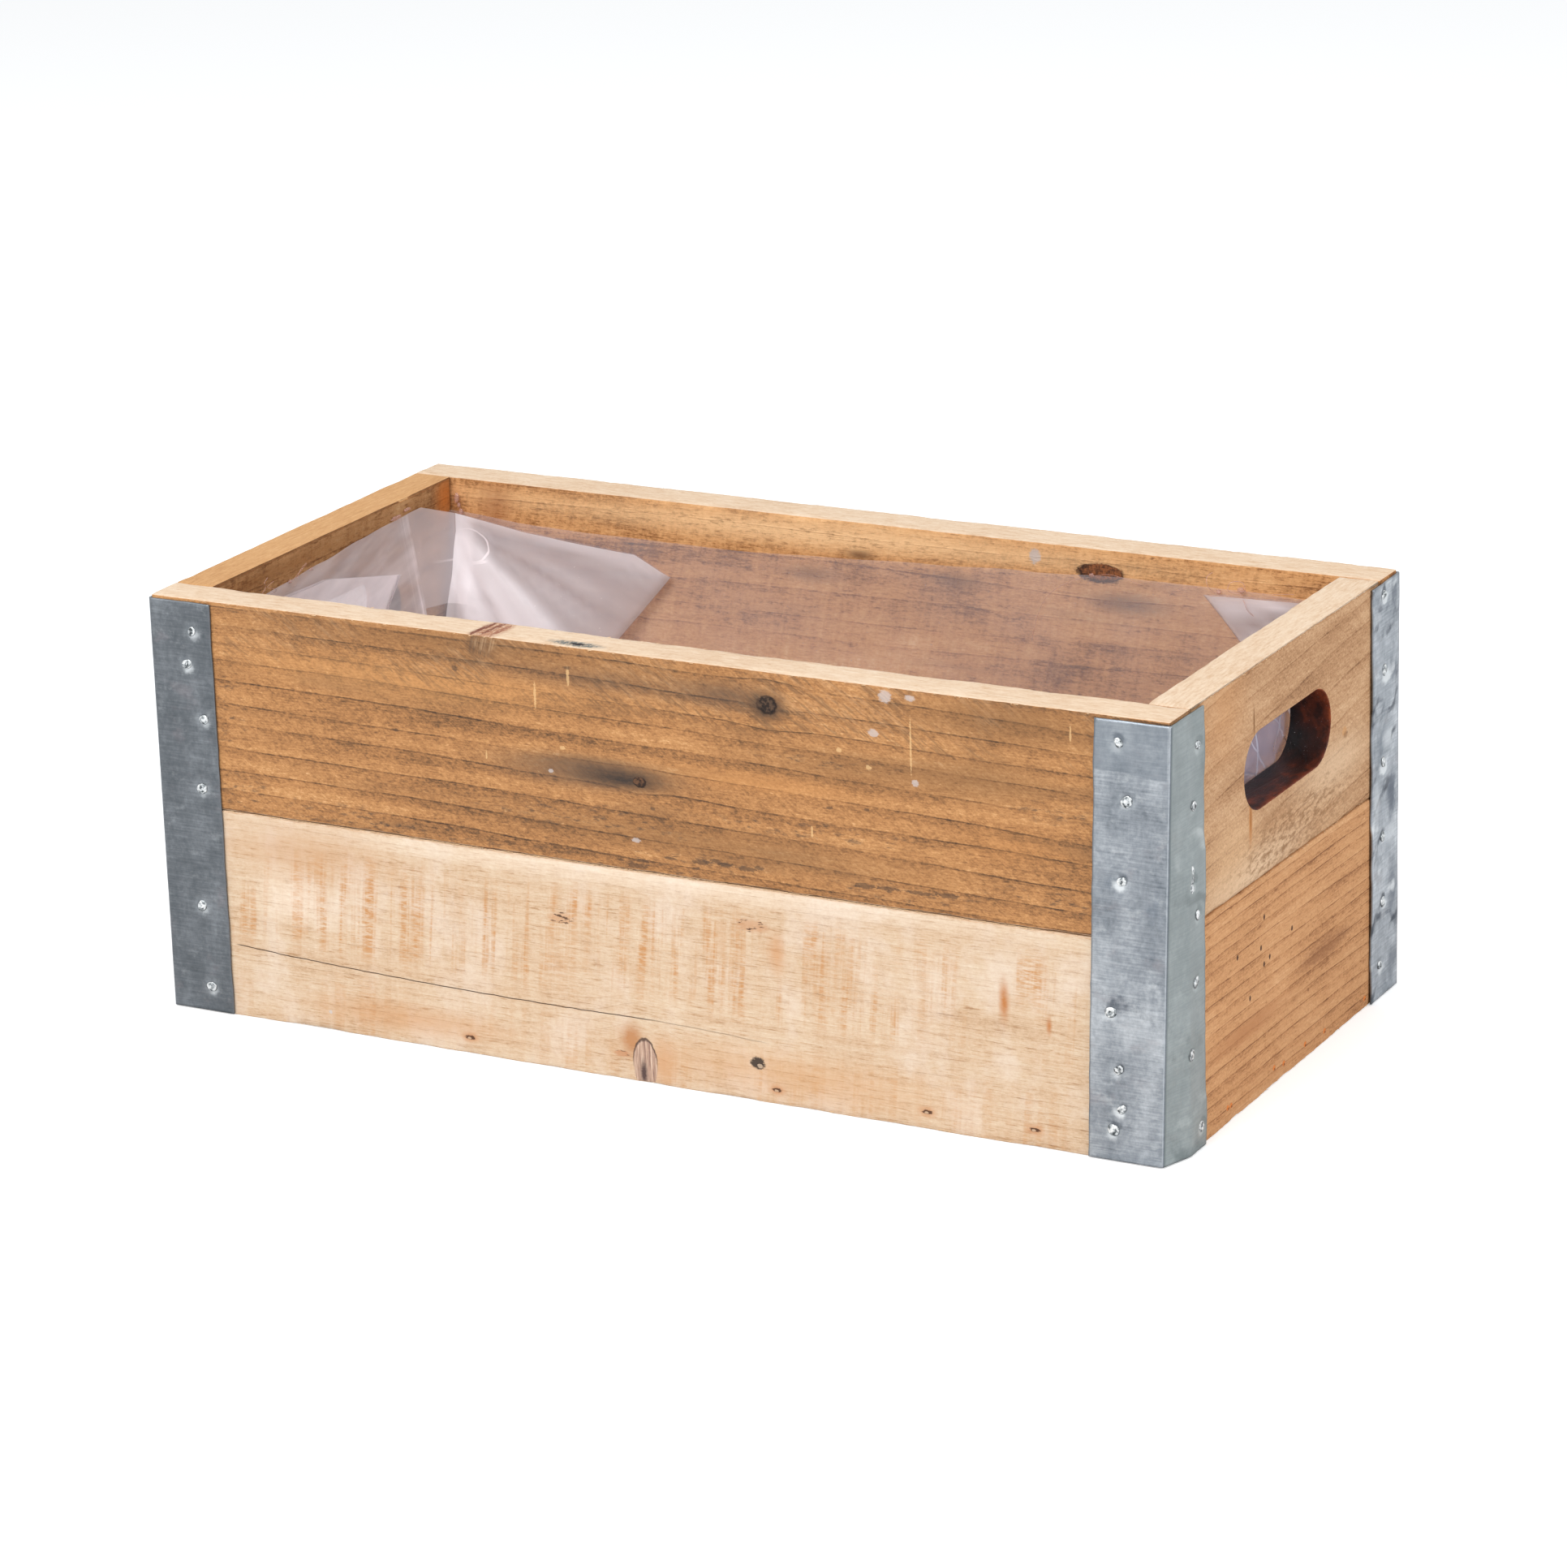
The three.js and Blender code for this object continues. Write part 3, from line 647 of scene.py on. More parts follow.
def front_upper_wood():
    wood = Wood("front_upper_wood", WEATHERED, 1, [
        {"at": (63, 182), "half": (4.8, 4.2), "light": (88, 68, 54), "dark": (44, 35, 31)},
        {"at": (-0.8, 139.4), "half": (3.2, 2.3), "light": (104, 74, 54)},
    ])
    for colour, at, half, strength in (
        (EARTH, (-90, 191), (150, 10), 0.45), (EARTH, (110, 158), (80, 10), 0.4),
        (EARTH, (176, 188), (60, 14), 0.6), (EARTH, (165, 162), (44, 13), 0.5),
        (EARTH, (30, 116), (140, 10), 0.45), ((214, 156, 98), (-110, 172), (110, 12), 0.55),
        ((204, 142, 84), (60, 147), (60, 6), 0.45), ((204, 142, 84), (180, 134), (34, 10), 0.3),
    ):
        wood.smudge(colour, at, half, strength)
    wood.strokes((104, 80, 60), 165, 196, 1.4, 0.55)
    wood.strokes((214, 168, 122), 172, 196, 1.5, 0.3)
    for colour, at, half, strength in (
        (SOOT, (-20, 183), (84, 7), 0.45), (SOOT, (44, 184), (32, 8), 0.7),
        ((70, 58, 50), (63, 181), (11, 8), 1.2), (SOOT, (-28, 140.5), (56, 9), 0.9),
        ((64, 55, 50), (-8, 139.6), (28, 5.5), 1.2), ((112, 80, 56), (-78, 193), (10, 7), 0.9),
    ):
        wood.smudge(colour, at, half, strength)
    wood.scrape((-77, 192), (9, 6), (92, 70, 56), 0.7)
    wood.scrape((-75, 193), (8, 4), (206, 166, 124), 0.45)
    wood.draw_knots()
    for at, half in (
        ((0, 101), (44, 5)), ((26, 107), (38, 5)), ((128, 105), (46, 5)), ((-212, 146), (10, 20)),
        ((-206, 110), (16, 12)), ((-150, 104), (50, 7)), ((-90, 103), (60, 6)), ((-30, 120), (70, 7)),
        ((90, 160), (40, 4)), ((190, 112), (34, 6)), ((80, 128), (70, 5)), ((200, 150), (30, 6)),
    ):
        wood.specks(at, half)
    for at, half in (
        ((119.2, 192.4), (3.2, 2.8)), ((113.4, 175.7), (2.7, 1.8)), ((132.8, 155.9), (1.8, 1.6)),
        ((-3.5, 112.6), (2.2, 1.1)), ((131, 193), (2.4, 1.4)), ((-45, 139), (1.4, 1.0)),
    ):
        wood.mark(PUTTY, at, half, 0.62)
    for at, half in (
        ((131, 172), (0.5, 13)), ((97, 166), (1.2, 1.0)), ((111, 160), (1.3, 1.1)),
        ((83, 128), (0.5, 2.6)), ((-34.6, 183), (0.7, 5)), ((-51.5, 173), (0.6, 6)),
        ((-38.7, 150.3), (1.4, 0.8)), ((-77.5, 142.2), (0.4, 2)), ((205, 186), (0.5, 4)),
    ):
        wood.mark(STRAW, at, half, 0.55, 0, 1.3)
    for at, half in SEAM_STAINS:
        wood.mark((74, 60, 52), at, half, 0.62, 0, 1.6)
    for colour, at, half, lean, strength in (
        ((176, 128, 100), (-77.2, -114), (7.6, 16), 0.03, 1.1),
        ((118, 70, 54), (-82.2, -115), (1.5, 12), 0.1, 1.5),
        ((128, 80, 62), (-77.6, -113), (1.6, 12), 0.1, 1.2),
        ((150, 100, 78), (-73, -114), (1.2, 11), 0.05, 1.0),
        ((104, 108, 106), (-32, -119.5), (14, 3.4), -0.3, 1.0),
        ((44, 38, 38), (-31.4, -119.6), (4.0, 1.3), 0, 1.6),
    ):
        wood.on_rim(colour, at, half, lean, strength)
    return wood.finish()


def sliced_knot(wood, at, half):
    """A knot cut lengthwise by the board's lower edge, grey inside with upright grain."""
    sh = wood.sh
    far = wood.distance(at, half) + wood.jag * 0.16
    grain = sh.noise(wood.place, (1300, 70, 100), 3.0, 0.65)
    body = sh.ramp(grain, [(0.32, (140, 110, 98)), (0.5, (192, 160, 140)), (0.68, (226, 200, 178))])
    wood.tint(body, sh.smooth(far, 1.03, 0.95))
    outline = sh.smooth(abs(far - 1.0), 0.09, 0.02) * sh.smooth(wood.v, 5 * MM, 15 * MM)
    wood.tint((84, 66, 60), outline * 0.9)
    wood.smudge((92, 74, 70), (at[0] - 0.8, at[1] - 3.5), (2.2, 7), 1.5)


def front_lower_wood():
    at, half = (-3.2, 8.4), (6.0, 12)
    wood = Wood("front_lower_wood", PALE, 2, [{"at": at, "half": half}])
    wood.bleach(0.5)
    wood.columns(30, 93, 1.0)
    wood.columns(-20, 34, 0.5)
    for colour, place, size, strength in (
        (BLEACH, (-185, 62), (24, 15), 0.55), (BLEACH, (0, 95), (240, 7), 0.45),
        ((206, 150, 100), (-125, 12), (60, 9), 0.6), ((200, 150, 108), (-180, 84), (60, 16), 0.5),
        ((210, 156, 104), (70, 14), (90, 14), 0.5), ((190, 138, 96), (-9.5, 19), (7, 10), 1.4),
        ((208, 156, 112), (6, 10), (8, 14), 0.8),
    ):
        wood.smudge(colour, place, size, strength)
    sliced_knot(wood, at, half)
    wood.torn((-15, 12), (4.5, 1.8), (190, 128, 84))
    wood.torn((-42.9, 71.3), (6.5, 3), (206, 158, 120))
    wood.torn((52.5, 81), (8.5, 3.4), (200, 150, 112))
    wood.smudge((206, 150, 104), (64, 70), (5, 12), 0.8)
    wood.mark((58, 50, 46), (53.2, 17.8), (3.8, 2.8), 0.95, 2.5, 0.7)
    wood.mark((196, 172, 148), (54.3, 16.7), (1.5, 1.0), 0.8, -2, 0.9)
    for u, v in ((62.4, 6.8), (135.2, 8.1), (186, 8), (-92.8, 7.8)):
        wood.smudge((196, 128, 76), (u, v), (5, 3), 0.9)
        wood.mark(BARK, (u, v), (2.6, 1.0), 0.9, 2, 0.9)
        wood.mark((222, 190, 158), (u - 0.4, v - 0.4), (1.1, 0.6), 0.7)
    wood.mark(PUTTY, (-166.4, 8.9), (0.9, 0.9), 0.9)
    wood.smudge(RUST, (172.5, 64), (3, 12), 1.2)
    wood.smudge(RUST, (193.5, 56), (1.6, 5), 1.2)
    wood.crack(30.1, 0.0172, 1.76e-4, -216, 6, 0.3, 0.86)
    wood.crack(30.1, -0.02, -3.0e-4, -6, 62, 0.26, 0.24)
    return wood.finish()


def right_upper_wood():
    wood = Wood("right_upper_wood", TAN, 3)
    sh = wood.sh
    wood.smudge((206, 150, 100), (-70, 185), (30, 30), 0.5)
    wood.smudge((226, 194, 160), (-40, 106), (70, 12), 1.0)
    wood.smudge((226, 194, 160), (50, 126), (50, 16), 0.8)
    rubbed = sh.noise(sh.join(wood.u - wood.v * 0.5, wood.v, wood.w), (180, 420, 60), 4.0, 0.66)
    region = sh.smooth(wood.distance((4, 112), (86, 17)) + wood.jag, 1.1, 0.4)
    worn = sh.smooth(rubbed, 0.44, 0.62) * region * (wood.fibre + 0.2)
    wood.tint((148, 110, 76), worn, 1.2)
    light = sh.smooth(wood.distance((-62, 122), (34, 20)), 1.2, 0.2)
    wood.tint((224, 184, 142), light * (wood.grit + 0.1) * 0.7)
    wood.smudge((132, 92, 56), (-37.2, 172), (1.1, 8), 1.3)
    wood.smudge((186, 122, 62), (-41.2, 129), (2.2, 13), 1.3)
    wood.smudge((140, 92, 56), (-41.0, 131), (0.8, 8), 1.0)
    wood.mark((206, 148, 90), (63, 138.6), (2.6, 2.2), 0.5, -1)
    wood.torn((64.3, 136.7), (2.6, 1.8), (150, 108, 72))
    return wood.finish()


def right_lower_wood():
    wood = Wood("right_lower_wood", ORANGE, 4)
    flame = wood.sh.smooth(wood.distance((42, 44.5), (38, 6)) + wood.jag * 0.9, 1.1, 0.3)
    wood.tint((140, 92, 60), flame * (0.15 + wood.sh.smooth(wood.fibre, 0.34, 0.6) * 0.7))
    wood.smudge((176, 118, 76), (-45, 36), (50, 6), 0.8)
    for at in ((-55.5, 72), (-30, 68), (-26.6, 59.5), (-20.4, 61), (-26.6, 81), (-42, 49), (4, 66)):
        wood.mark(BARK, at, (0.9, 1.3), 0.95, 2, 0.4)
    for u, v in ((-66.4, 7.4), (-62.9, 7.3), (-16, 8), (-5.2, 6.4), (18.6, 7), (40.9, 5.6), (88, 5)):
        wood.mark((224, 130, 62), (u, v), (1.5, 1.3), 0.9, -1, 0.6)
        wood.mark((120, 66, 40), (u + 0.8, v - 0.8), (0.8, 0.6), 0.8, 0, 0.5)
    return wood.finish()


def back_upper_wood():
    wood = Wood("back_upper_wood", INNER, 5, [
        {"at": (-114, 185.5), "half": (12, 4.5), "light": (150, 92, 56), "dark": (96, 60, 40), "rim": 0.7},
    ])
    wood.smudge((252, 206, 154), (20, 189), (230, 9), 1.1)
    wood.draw_knots()
    wood.mark(PUTTY, (-81, 190), (3, 3.6), 0.8)
    for colour, at, half, strength in (
        (BARK, (9, 181), (10, 3), 0.9), ((150, 84, 46), (206, 182), (12, 20), 0.6),
        ((78, 60, 66), (-127, 172), (26, 7), 0.8), ((90, 66, 60), (-41, 174), (18, 5), 0.6),
        ((90, 66, 60), (35, 169), (18, 5), 0.6),
    ):
        wood.smudge(colour, at, half, strength)
    wood.specks((60, 186), (170, 12), 0.5, (120, 76, 46))
    return wood.finish()


def left_upper_wood():
    wood = Wood("left_upper_wood", dimmed(INNER, 0.8), 7)
    wood.smudge((200, 118, 52), (-98, 188), (11, 14), 1.1)
    wood.smudge((150, 98, 50), (40, 190), (100, 5), 0.6)
    wood.specks((0, 186), (110, 10), 0.45, (104, 66, 42))
    return wood.finish(SAWN_BROWN)


def all_boards():
    slant = 2.9 * MM
    hole = {"straight": 30.1 * MM, "radius": 17.4 * MM, "height": 149 * MM, "middle": 0.0}
    left_hole = dict(hole, height=146.8 * MM, middle=-6 * MM)
    back_lower = Wood("back_lower_wood", dimmed(INNER, 0.92), 6).finish()
    left_lower = Wood("left_lower_wood", ORANGE, 8).finish()
    base = Wood("base_wood", PALE, 9).finish()
    for number, (node, material, slot, shape) in enumerate((
        ("front_board_upper", front_upper_wood(), "aged_wood", {"lean": 5 * MM}),
        ("front_board_lower", front_lower_wood(), "pale_wood", {"lean": 5 * MM}),
        ("right_board_upper", right_upper_wood(), "aged_wood", {"slant": -slant, "hole": hole}),
        ("right_board_lower", right_lower_wood(), "pale_wood", {"slant": slant}),
        ("back_board_upper", back_upper_wood(), "aged_wood", {}),
        ("back_board_lower", back_lower, "pale_wood", {}),
        (
            "left_board_upper", left_upper_wood(), "aged_wood",
            {"slant": -slant, "hole": left_hole, "worn": 0.7},
        ),
        ("left_board_lower", left_lower, "pale_wood", {"slant": slant}),
        ("base_board_front", base, "pale_wood", {}),
        ("base_board_back", base, "pale_wood", {}),
    )):
        make_board(node, material, slot, 11 + number, **shape)


# Corner straps. A strap's own places are s, the way along the bent sheet from its corner, and z.
# s is below 0 on the end wall's flange and above 0 on the long wall's.

SHEET = 0.9 * MM
BEND = 1.5 * MM
FLANGE = 33 * MM
LEAN_RUN = 15.4 * MM
STRAP_ROWS = 150
FLANGE_PLACES = 24
BEND_PLACES = 4
CUT = 0.35 * MM
DARK_REFLECTION = (52, 66, 86)
BRIGHT_REFLECTION = (222, 227, 230)
DULL_ZINC = [(76, 82, 87), (104, 109, 114), (136, 141, 146)]
BRIGHT_ZINC = [(112, 120, 128), (158, 164, 171), (202, 207, 212)]
STRAPS = {
    # dents are given for the end wall's flange and for the long wall's, and painted reflections, dark and
    # bright patches that stand in for the dents' reflections, by s and z
    "front_left": {"corner": (-1, -1), "tone": 0.0, "dents": (0.6, 0.35), "bloom": 0.3, "seed": 31},
    "front_right": {
        "corner": (1, -1), "tone": 0.85, "dents": (1.2, 0.7), "bloom": 0.6, "seed": 32,
        "lean": 5 * MM, "long_flange": 35 * MM, "duller_above": 171.5 * MM, "green": 0.6,
    },
    "back_right": {
        "corner": (1, 1), "tone": 1.15, "dents": (2.0, 0.8), "bloom": 0.7, "seed": 33,
        "painted_reflections": [
            (DARK_REFLECTION, (-9, 95), (6, 15), 0.75), (DARK_REFLECTION, (-8, 50), (9, 14), 0.55),
            (DARK_REFLECTION, (-8, 187), (4, 7), 0.5), (DARK_REFLECTION, (-9, 153), (5, 6), 0.45),
            (DARK_REFLECTION, (-6, 14), (8, 8), 0.4), (BRIGHT_REFLECTION, (-12, 122), (8, 5), 0.5),
            (BRIGHT_REFLECTION, (-10, 76), (8, 5), 0.5), (BRIGHT_REFLECTION, (-27, 95), (4, 12), 0.35),
        ],
    },
    "back_left": {"corner": (-1, 1), "tone": 0.3, "dents": (0.8, 0.6), "bloom": 0.4, "seed": 34},
}


def nail_nodes(strap):
    return [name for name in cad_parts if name.startswith(strap + "_strap_nail_")]


@functools.lru_cache
def strap_corner(strap):
    """The strap's corner in plan, and the lowest and highest z."""
    low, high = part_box(strap + "_strap")
    x, y = (high[axis] if side > 0 else low[axis] for axis, side in enumerate(STRAPS[strap]["corner"]))
    return x, y, low[2], high[2]


def on_strap(strap, s, over, z):
    """The place in plan of a point at s and z that stands a height over the plain sheet."""
    side_x, side_y = STRAPS[strap]["corner"]
    x, y, _, _ = strap_corner(strap)
    if abs(s) >= BEND:
        normal = (0, side_y) if s > 0 else (side_x, 0)
        x, y = (x - side_x * s, y) if s > 0 else (x, y + side_y * s)
    else:
        angle = (s / BEND + 1) * math.pi / 4
        normal = (side_x * math.cos(angle), side_y * math.sin(angle))
        x, y = x - side_x * BEND + normal[0] * BEND, y - side_y * BEND + normal[1] * BEND
    taken = lean_at(STRAPS[strap].get("lean", 0.0), z) * min(1.0, max(0.0, 1 + (s + BEND) / LEAN_RUN))
    return x + normal[0] * over - side_x * taken, y + normal[1] * over


def nail_places(strap):
    """The s and z of each nail of a strap, from the boxes of the nail nodes."""
    corner_x, corner_y, _, _ = strap_corner(strap)
    for name in nail_nodes(strap):
        x, y, z = [(a + b) / 2 for a, b in zip(*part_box(name))]
        if "_left_" in name[len(strap):] or "_right_" in name[len(strap):]:
            yield -abs(corner_y - y), z
        else:
            yield abs(corner_x - x) - lean_at(STRAPS[strap].get("lean", 0.0), z), z


def sheet_height(strap, s, z, nails):
    """How far the sheet stands proud of its plain shape in millimetres, and how near a nail is."""
    facts = STRAPS[strap]
    seed = facts["seed"]
    dents = facts["dents"][1 if s > 0 else 0] * min(1.0, abs(s) / (6 * MM)) + 0.1
    bulge = max(0.0, rough((s, z * 1.2, seed), 30, seed, 2) + 0.12) * 0.6
    wave = rough((s, z, seed), 130, seed + 1, 2) * 0.1
    lift = (s / FLANGE) ** 2 * max(0.0, rough((0, z, s > 0), 30, seed + 4, 2) + 0.15) * 0.5
    near = min(math.hypot(s - a, z - b) for a, b in nails) / MM
    dimple = math.exp(-(near / 3.1) ** 2)
    proud = dents * (bulge + wave + lift * 1.2) * (1 - dimple)
    return min(proud, 0.68) - 0.3 * dimple, math.exp(-(near / 4.6) ** 4)


def make_strap(strap, material):
    facts = STRAPS[strap]
    _, _, foot, top = strap_corner(strap)
    seed = facts["seed"]
    flange = {False: FLANGE, True: facts.get("long_flange", FLANGE)}
    end_arm, long_arm = (np.linspace(BEND, flange[on_long], FLANGE_PLACES) for on_long in (False, True))
    around = np.array([*(-end_arm[::-1]), *np.linspace(-BEND, BEND, BEND_PLACES + 2)[1:-1], *long_arm])
    levels = np.linspace(foot, top, STRAP_ROWS)
    nails = list(nail_places(strap))
    heights = np.array([[sheet_height(strap, s, z, nails) for s in around] for z in levels])
    over, halo = heights[:, :, 0] * MM, heights[:, :, 1]
    # The slope of the dents, which the zinc's look turns into painted highlight and shade: lighter where
    # the sheet tilts up, darker where it tilts down
    along_z, along_s = np.gradient(over, levels, around)
    shade = -along_z * 5.5 + along_s * 2.5
    points, own, painted = [], [], []
    for layer in (0, 1):
        for row, z in enumerate(levels):
            for column, s in enumerate(around):
                at_end = max(0.0, (abs(s) - flange[s > 0] + 2 * MM) / (2 * MM))
                ragged = CUT * rough((0, z, s > 0), 60, seed + 2) * at_end
                reach = s - math.copysign(CUT * at_end - ragged, s)
                rim = max(0.0, (z - top + 2 * MM) / (2 * MM))
                cut = 0.4 * MM * rim * (0.5 + 0.5 * rough((s, 0, 0), 70, seed + 3))
                place = on_strap(strap, reach, over[row, column] - layer * SHEET, z)
                points.append((*place, z - cut))
                own.append((s, z, 0))
                painted.append((shade[row, column], at_end + rim, halo[row, column]))
    columns, rows = len(around), len(levels)
    flip = facts["corner"][0] * facts["corner"][1] < 0
    faces = grid_faces(rows, columns, 0, flip) + grid_faces(rows, columns, rows * columns, not flip)
    loop = [row * columns for row in range(rows)]
    loop += [(rows - 1) * columns + column for column in range(1, columns)]
    loop += [row * columns + columns - 1 for row in range(rows - 2, -1, -1)]
    loop += list(range(columns - 2, 0, -1))
    for a, b in zip(loop, loop[1:] + loop[:1]):
        quad = (a, b, b + rows * columns, a + rows * columns)
        faces.append(quad[::-1] if flip else quad)
    name = strap + "_zinc_strap"
    piece = add_mesh(name, points, faces, material, "zinc_sheet", grain=own, shade=painted)
    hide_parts(strap + "_strap")


# A head's profile, as its share of the radius and its height over the sheet in millimetres
NAIL_DOME = [(0.0, 0.46), (0.25, 0.52), (0.5, 0.5), (0.72, 0.44), (0.88, 0.3), (0.98, 0.05), (1.0, -0.4)]
NAIL_SIDES = 18
BENT_NAIL_HEIGHT = 121.2 * MM


def nail_heads(strap):
    """Each head's place, radius, squash and turn. One nail lies bent over beside its own head."""
    chance = random.Random(STRAPS[strap]["seed"])
    for s, z in nail_places(strap):
        radius = chance.uniform(2.4, 3.0) * MM
        squash = chance.uniform(0.78, 1.0)
        twist = chance.uniform(0, math.pi)
        if strap == "front_right" and s < 0 and abs(z - BENT_NAIL_HEIGHT) < 2 * MM:
            yield s + 0.6 * MM, z + 3.2 * MM, 5.4 * MM, 0.36, math.radians(76)
            yield s + 1.2 * MM, z - 2.6 * MM, 3.0 * MM, 0.75, math.radians(40)
        else:
            yield s, z, radius, squash, twist


def make_nails(strap, material):
    """The strap's hammered nail heads, as one piece."""
    facts = STRAPS[strap]
    seed = facts["seed"]
    chance = random.Random(seed + 100)
    flip = facts["corner"][0] * facts["corner"][1] < 0
    points, faces = [], []
    for s, z, radius, squash, twist in nail_heads(strap):
        tilt = (chance.uniform(-0.1, 0.1), chance.uniform(-0.1, 0.1))
        faces += grid_faces(len(NAIL_DOME), NAIL_SIDES, len(points), flip, "columns")
        for share, height in NAIL_DOME:
            for turn in range(NAIL_SIDES):
                angle = 2 * math.pi * turn / NAIL_SIDES
                a = math.cos(angle) * radius * share
                b = math.sin(angle) * radius * share * squash
                ragged = 1 + 0.16 * rough((s, z, angle), 0.9, seed, 2)
                across = (a * math.cos(twist) - b * math.sin(twist)) * ragged
                up = (a * math.sin(twist) + b * math.cos(twist)) * ragged
                lump = rough((s + across, z + up, share), 380, seed, 2) * 0.4 * MM
                lump *= min(1.0, 1.4 - share)
                over = height * MM + tilt[0] * across + tilt[1] * up + lump
                place = on_strap(strap, s + across, min(over, 0.82 * MM), z)
                points.append((*place, z + up, share, up / radius, lump / MM))
    points, faces = weld(points, faces)
    name = strap + "_nail_heads"
    piece = add_mesh(name, points[:, :3], faces, material, "nail_steel", head=points[:, 3:])
    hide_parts(*nail_nodes(strap))


def zinc(strap):
    """Old zinc sheet, from dark at tone 0 to bright at tone 1, with more white bloom for bloom 1. Highlight
    and shade from its dents, its bend and round its nails are painted into the colour.
    """
    facts = STRAPS[strap]
    tone, bloom, seed = facts["tone"], facts["bloom"], facts["seed"]
    sh = Shader(strap + "_zinc")
    place = sh.attribute("grain")
    s, z, _ = sh.split(place)
    tilt, rim, halo = sh.split(sh.attribute("shade"))
    drawn = sh.vector("ADD", place, (seed * 1.3, seed * 0.7, seed))
    cloud = sh.noise(drawn, (70, 42, 1), 4.0, 0.62)
    fine = sh.noise(drawn, (420, 340, 1), 4.0, 0.7)
    rolled = sh.noise(drawn, (60, 1050, 1), 3.0, 0.62)
    level = (cloud - 0.5) * 0.9 + (fine - 0.5) * 0.6 + (sh.noise(drawn, (26, 16, 1)) - 0.5) * 0.7
    level = level + (rolled - 0.5) * 0.6 + 0.5
    stops = [
        (stop, tuple(a + (b - a) * tone for a, b in zip(dull, bright)))
        for stop, dull, bright in zip((0.15, 0.5, 0.85), DULL_ZINC, BRIGHT_ZINC)
    ]
    colour = sh.ramp(level, stops)
    white = sh.spots(drawn, (90, 120, 1), 4.0, 0.7, 0.56, 0.74) * bloom
    brown = sh.spots(drawn, (46, 60, 1), 4.0, 0.66, 0.54, 0.7)
    tarnish = sh.spots(drawn, (60, 30, 1), 3.0, 0.6, 0.6, 0.74) * tone
    layers = [
        ((216, 220, 222), white * 0.55),
        ((140, 132, 136), brown * 0.4 * (fine + 0.3)),
        ((92, 106, 122), tarnish * 0.36),
    ]
    # Painted reflections: dark and bright patches where the dents would reflect dark and light
    for shade, at, half, share in facts.get("painted_reflections", ()):
        across, up = (s / MM - at[0]) / half[0], (z / MM - at[1]) / half[1]
        far = sh.math("SQRT", across * across + up * up) + (cloud - 0.5) * 1.6
        layers.append((shade, sh.smooth(far, 1.2, 0.3) * share))
    # Painted highlight and shade from the dents' slope: lighter where the sheet tilts up, darker where it
    # tilts down
    painted_tilt_light = tilt + (fine - 0.5) * 0.4 + (rolled - 0.5) * 0.1
    # A painted shade line and a painted highlight line along the bend
    fold = sh.smooth(abs(s + 0.6 * MM), 1.7 * MM, 0.7 * MM)
    bend_highlight = sh.smooth(abs(s - 0.3 * MM), 0.6 * MM, 0.2 * MM)
    layers += [
        ((232, 236, 238), sh.smooth(painted_tilt_light, 0.12, 0.8) * 0.85),
        ((34, 48, 66), sh.smooth(painted_tilt_light, -0.1, -0.7) * (0.4 + 0.5 * tone)),
        # Painted highlight: a light ring round each nail
        ((212, 218, 222), halo * (0.04 + fine * 0.26)),
        ((64, 74, 86), fold * 0.7),
        ((208, 214, 220), bend_highlight * (0.1 + fine * 0.8)),
        ((112, 118, 124), sh.smooth(rim, 0.5, 0.95) * 0.6),
    ]
    if "green" in facts:
        layers.append(((142, 152, 149), sh.smooth(s, 0, -1.5 * MM) * facts["green"]))
    if "duller_above" in facts:
        edge = facts["duller_above"]
        ragged = z + (cloud - 0.5) * 5 * MM - s * 0.06
        covered = sh.smooth(ragged, edge - 0.5 * MM, edge + 0.4 * MM) * sh.smooth(s, 1 * MM, 2 * MM)
        layers.append(((112, 121, 130), covered * 0.55))
    for shade, share in layers:
        colour = sh.blend(colour, shade, share)
    height = rolled * 0.5 + fine * 0.5 + cloud * 0.6
    return sh.finish(sh.surface(
        Base_Color=colour, Metallic=0.6, Roughness=(fine - 0.5) * 0.3 + white * 0.2 + 0.38,
        Normal=sh.bump(height, 0.12 * MM, 0.7),
    ))


def nail_steel():
    """Bright steel with hammer marks, with painted highlight and shade: lighter on the raised lumps and
    towards the top of the head, darker lower down, and painted shade round the head's edge.
    """
    sh = Shader("hammered_nail")
    share, up, lump = sh.split(sh.attribute("head"))
    speck = sh.noise(sh.position(), (620, 620, 620), 2.5, 0.6)
    # Painted highlight and shade: speckle, the lumps' height and the place on the head pick dark or bright
    # steel
    colour = sh.ramp(speck + lump * 0.9 + up * 0.06, [
        (0.34, (70, 75, 78)), (0.45, (154, 160, 163)), (0.57, (220, 224, 225)), (0.7, (246, 247, 247)),
    ])
    # Painted shade round the head's edge
    colour = sh.blend(colour, (66, 68, 70), sh.smooth(share, 0.86, 1.0) * 0.75)
    return sh.finish(sh.surface(
        Base_Color=colour, Metallic=0.6, Roughness=0.28, Normal=sh.bump(speck, 0.3 * MM, 0.7),
    ))


def all_straps():
    steel = nail_steel()
    for strap in STRAPS:
        make_strap(strap, zinc(strap))
        make_nails(strap, steel)


# Film liner: one sheet, folded into the box like gift wrap. It goes round the walls from the
# front wall on, anticlockwise from above, and out and back along an ear at each corner.

RIM = 196.9 * MM
FILM_FLOOR = 16.5 * MM
FILM_STEP = 4.2 * MM
FILM_ROWS = 56
FLOOR_RINGS = 14
EAR_STEPS = 26
WALL_MILK = 0.18
# The inner half length and half width of the box
INNER_HALF = np.array([230.5 * MM, 103.7 * MM])
# How far the film's edge lies below the rim, at even places along each wall
FILM_DROPS = {
    "front": [16, 17, 19, 18, 15, 15],
    "right": [15, 13, 15, 13, 14],
    "back": [13, 12, 12, 13.6, 15.7, 18.2, 20.5, 20.1, 19.6, 16.5],
    "left": [12, 7.8, 8.7, 9.2, 11.5, 13.7, 15, 16],
}
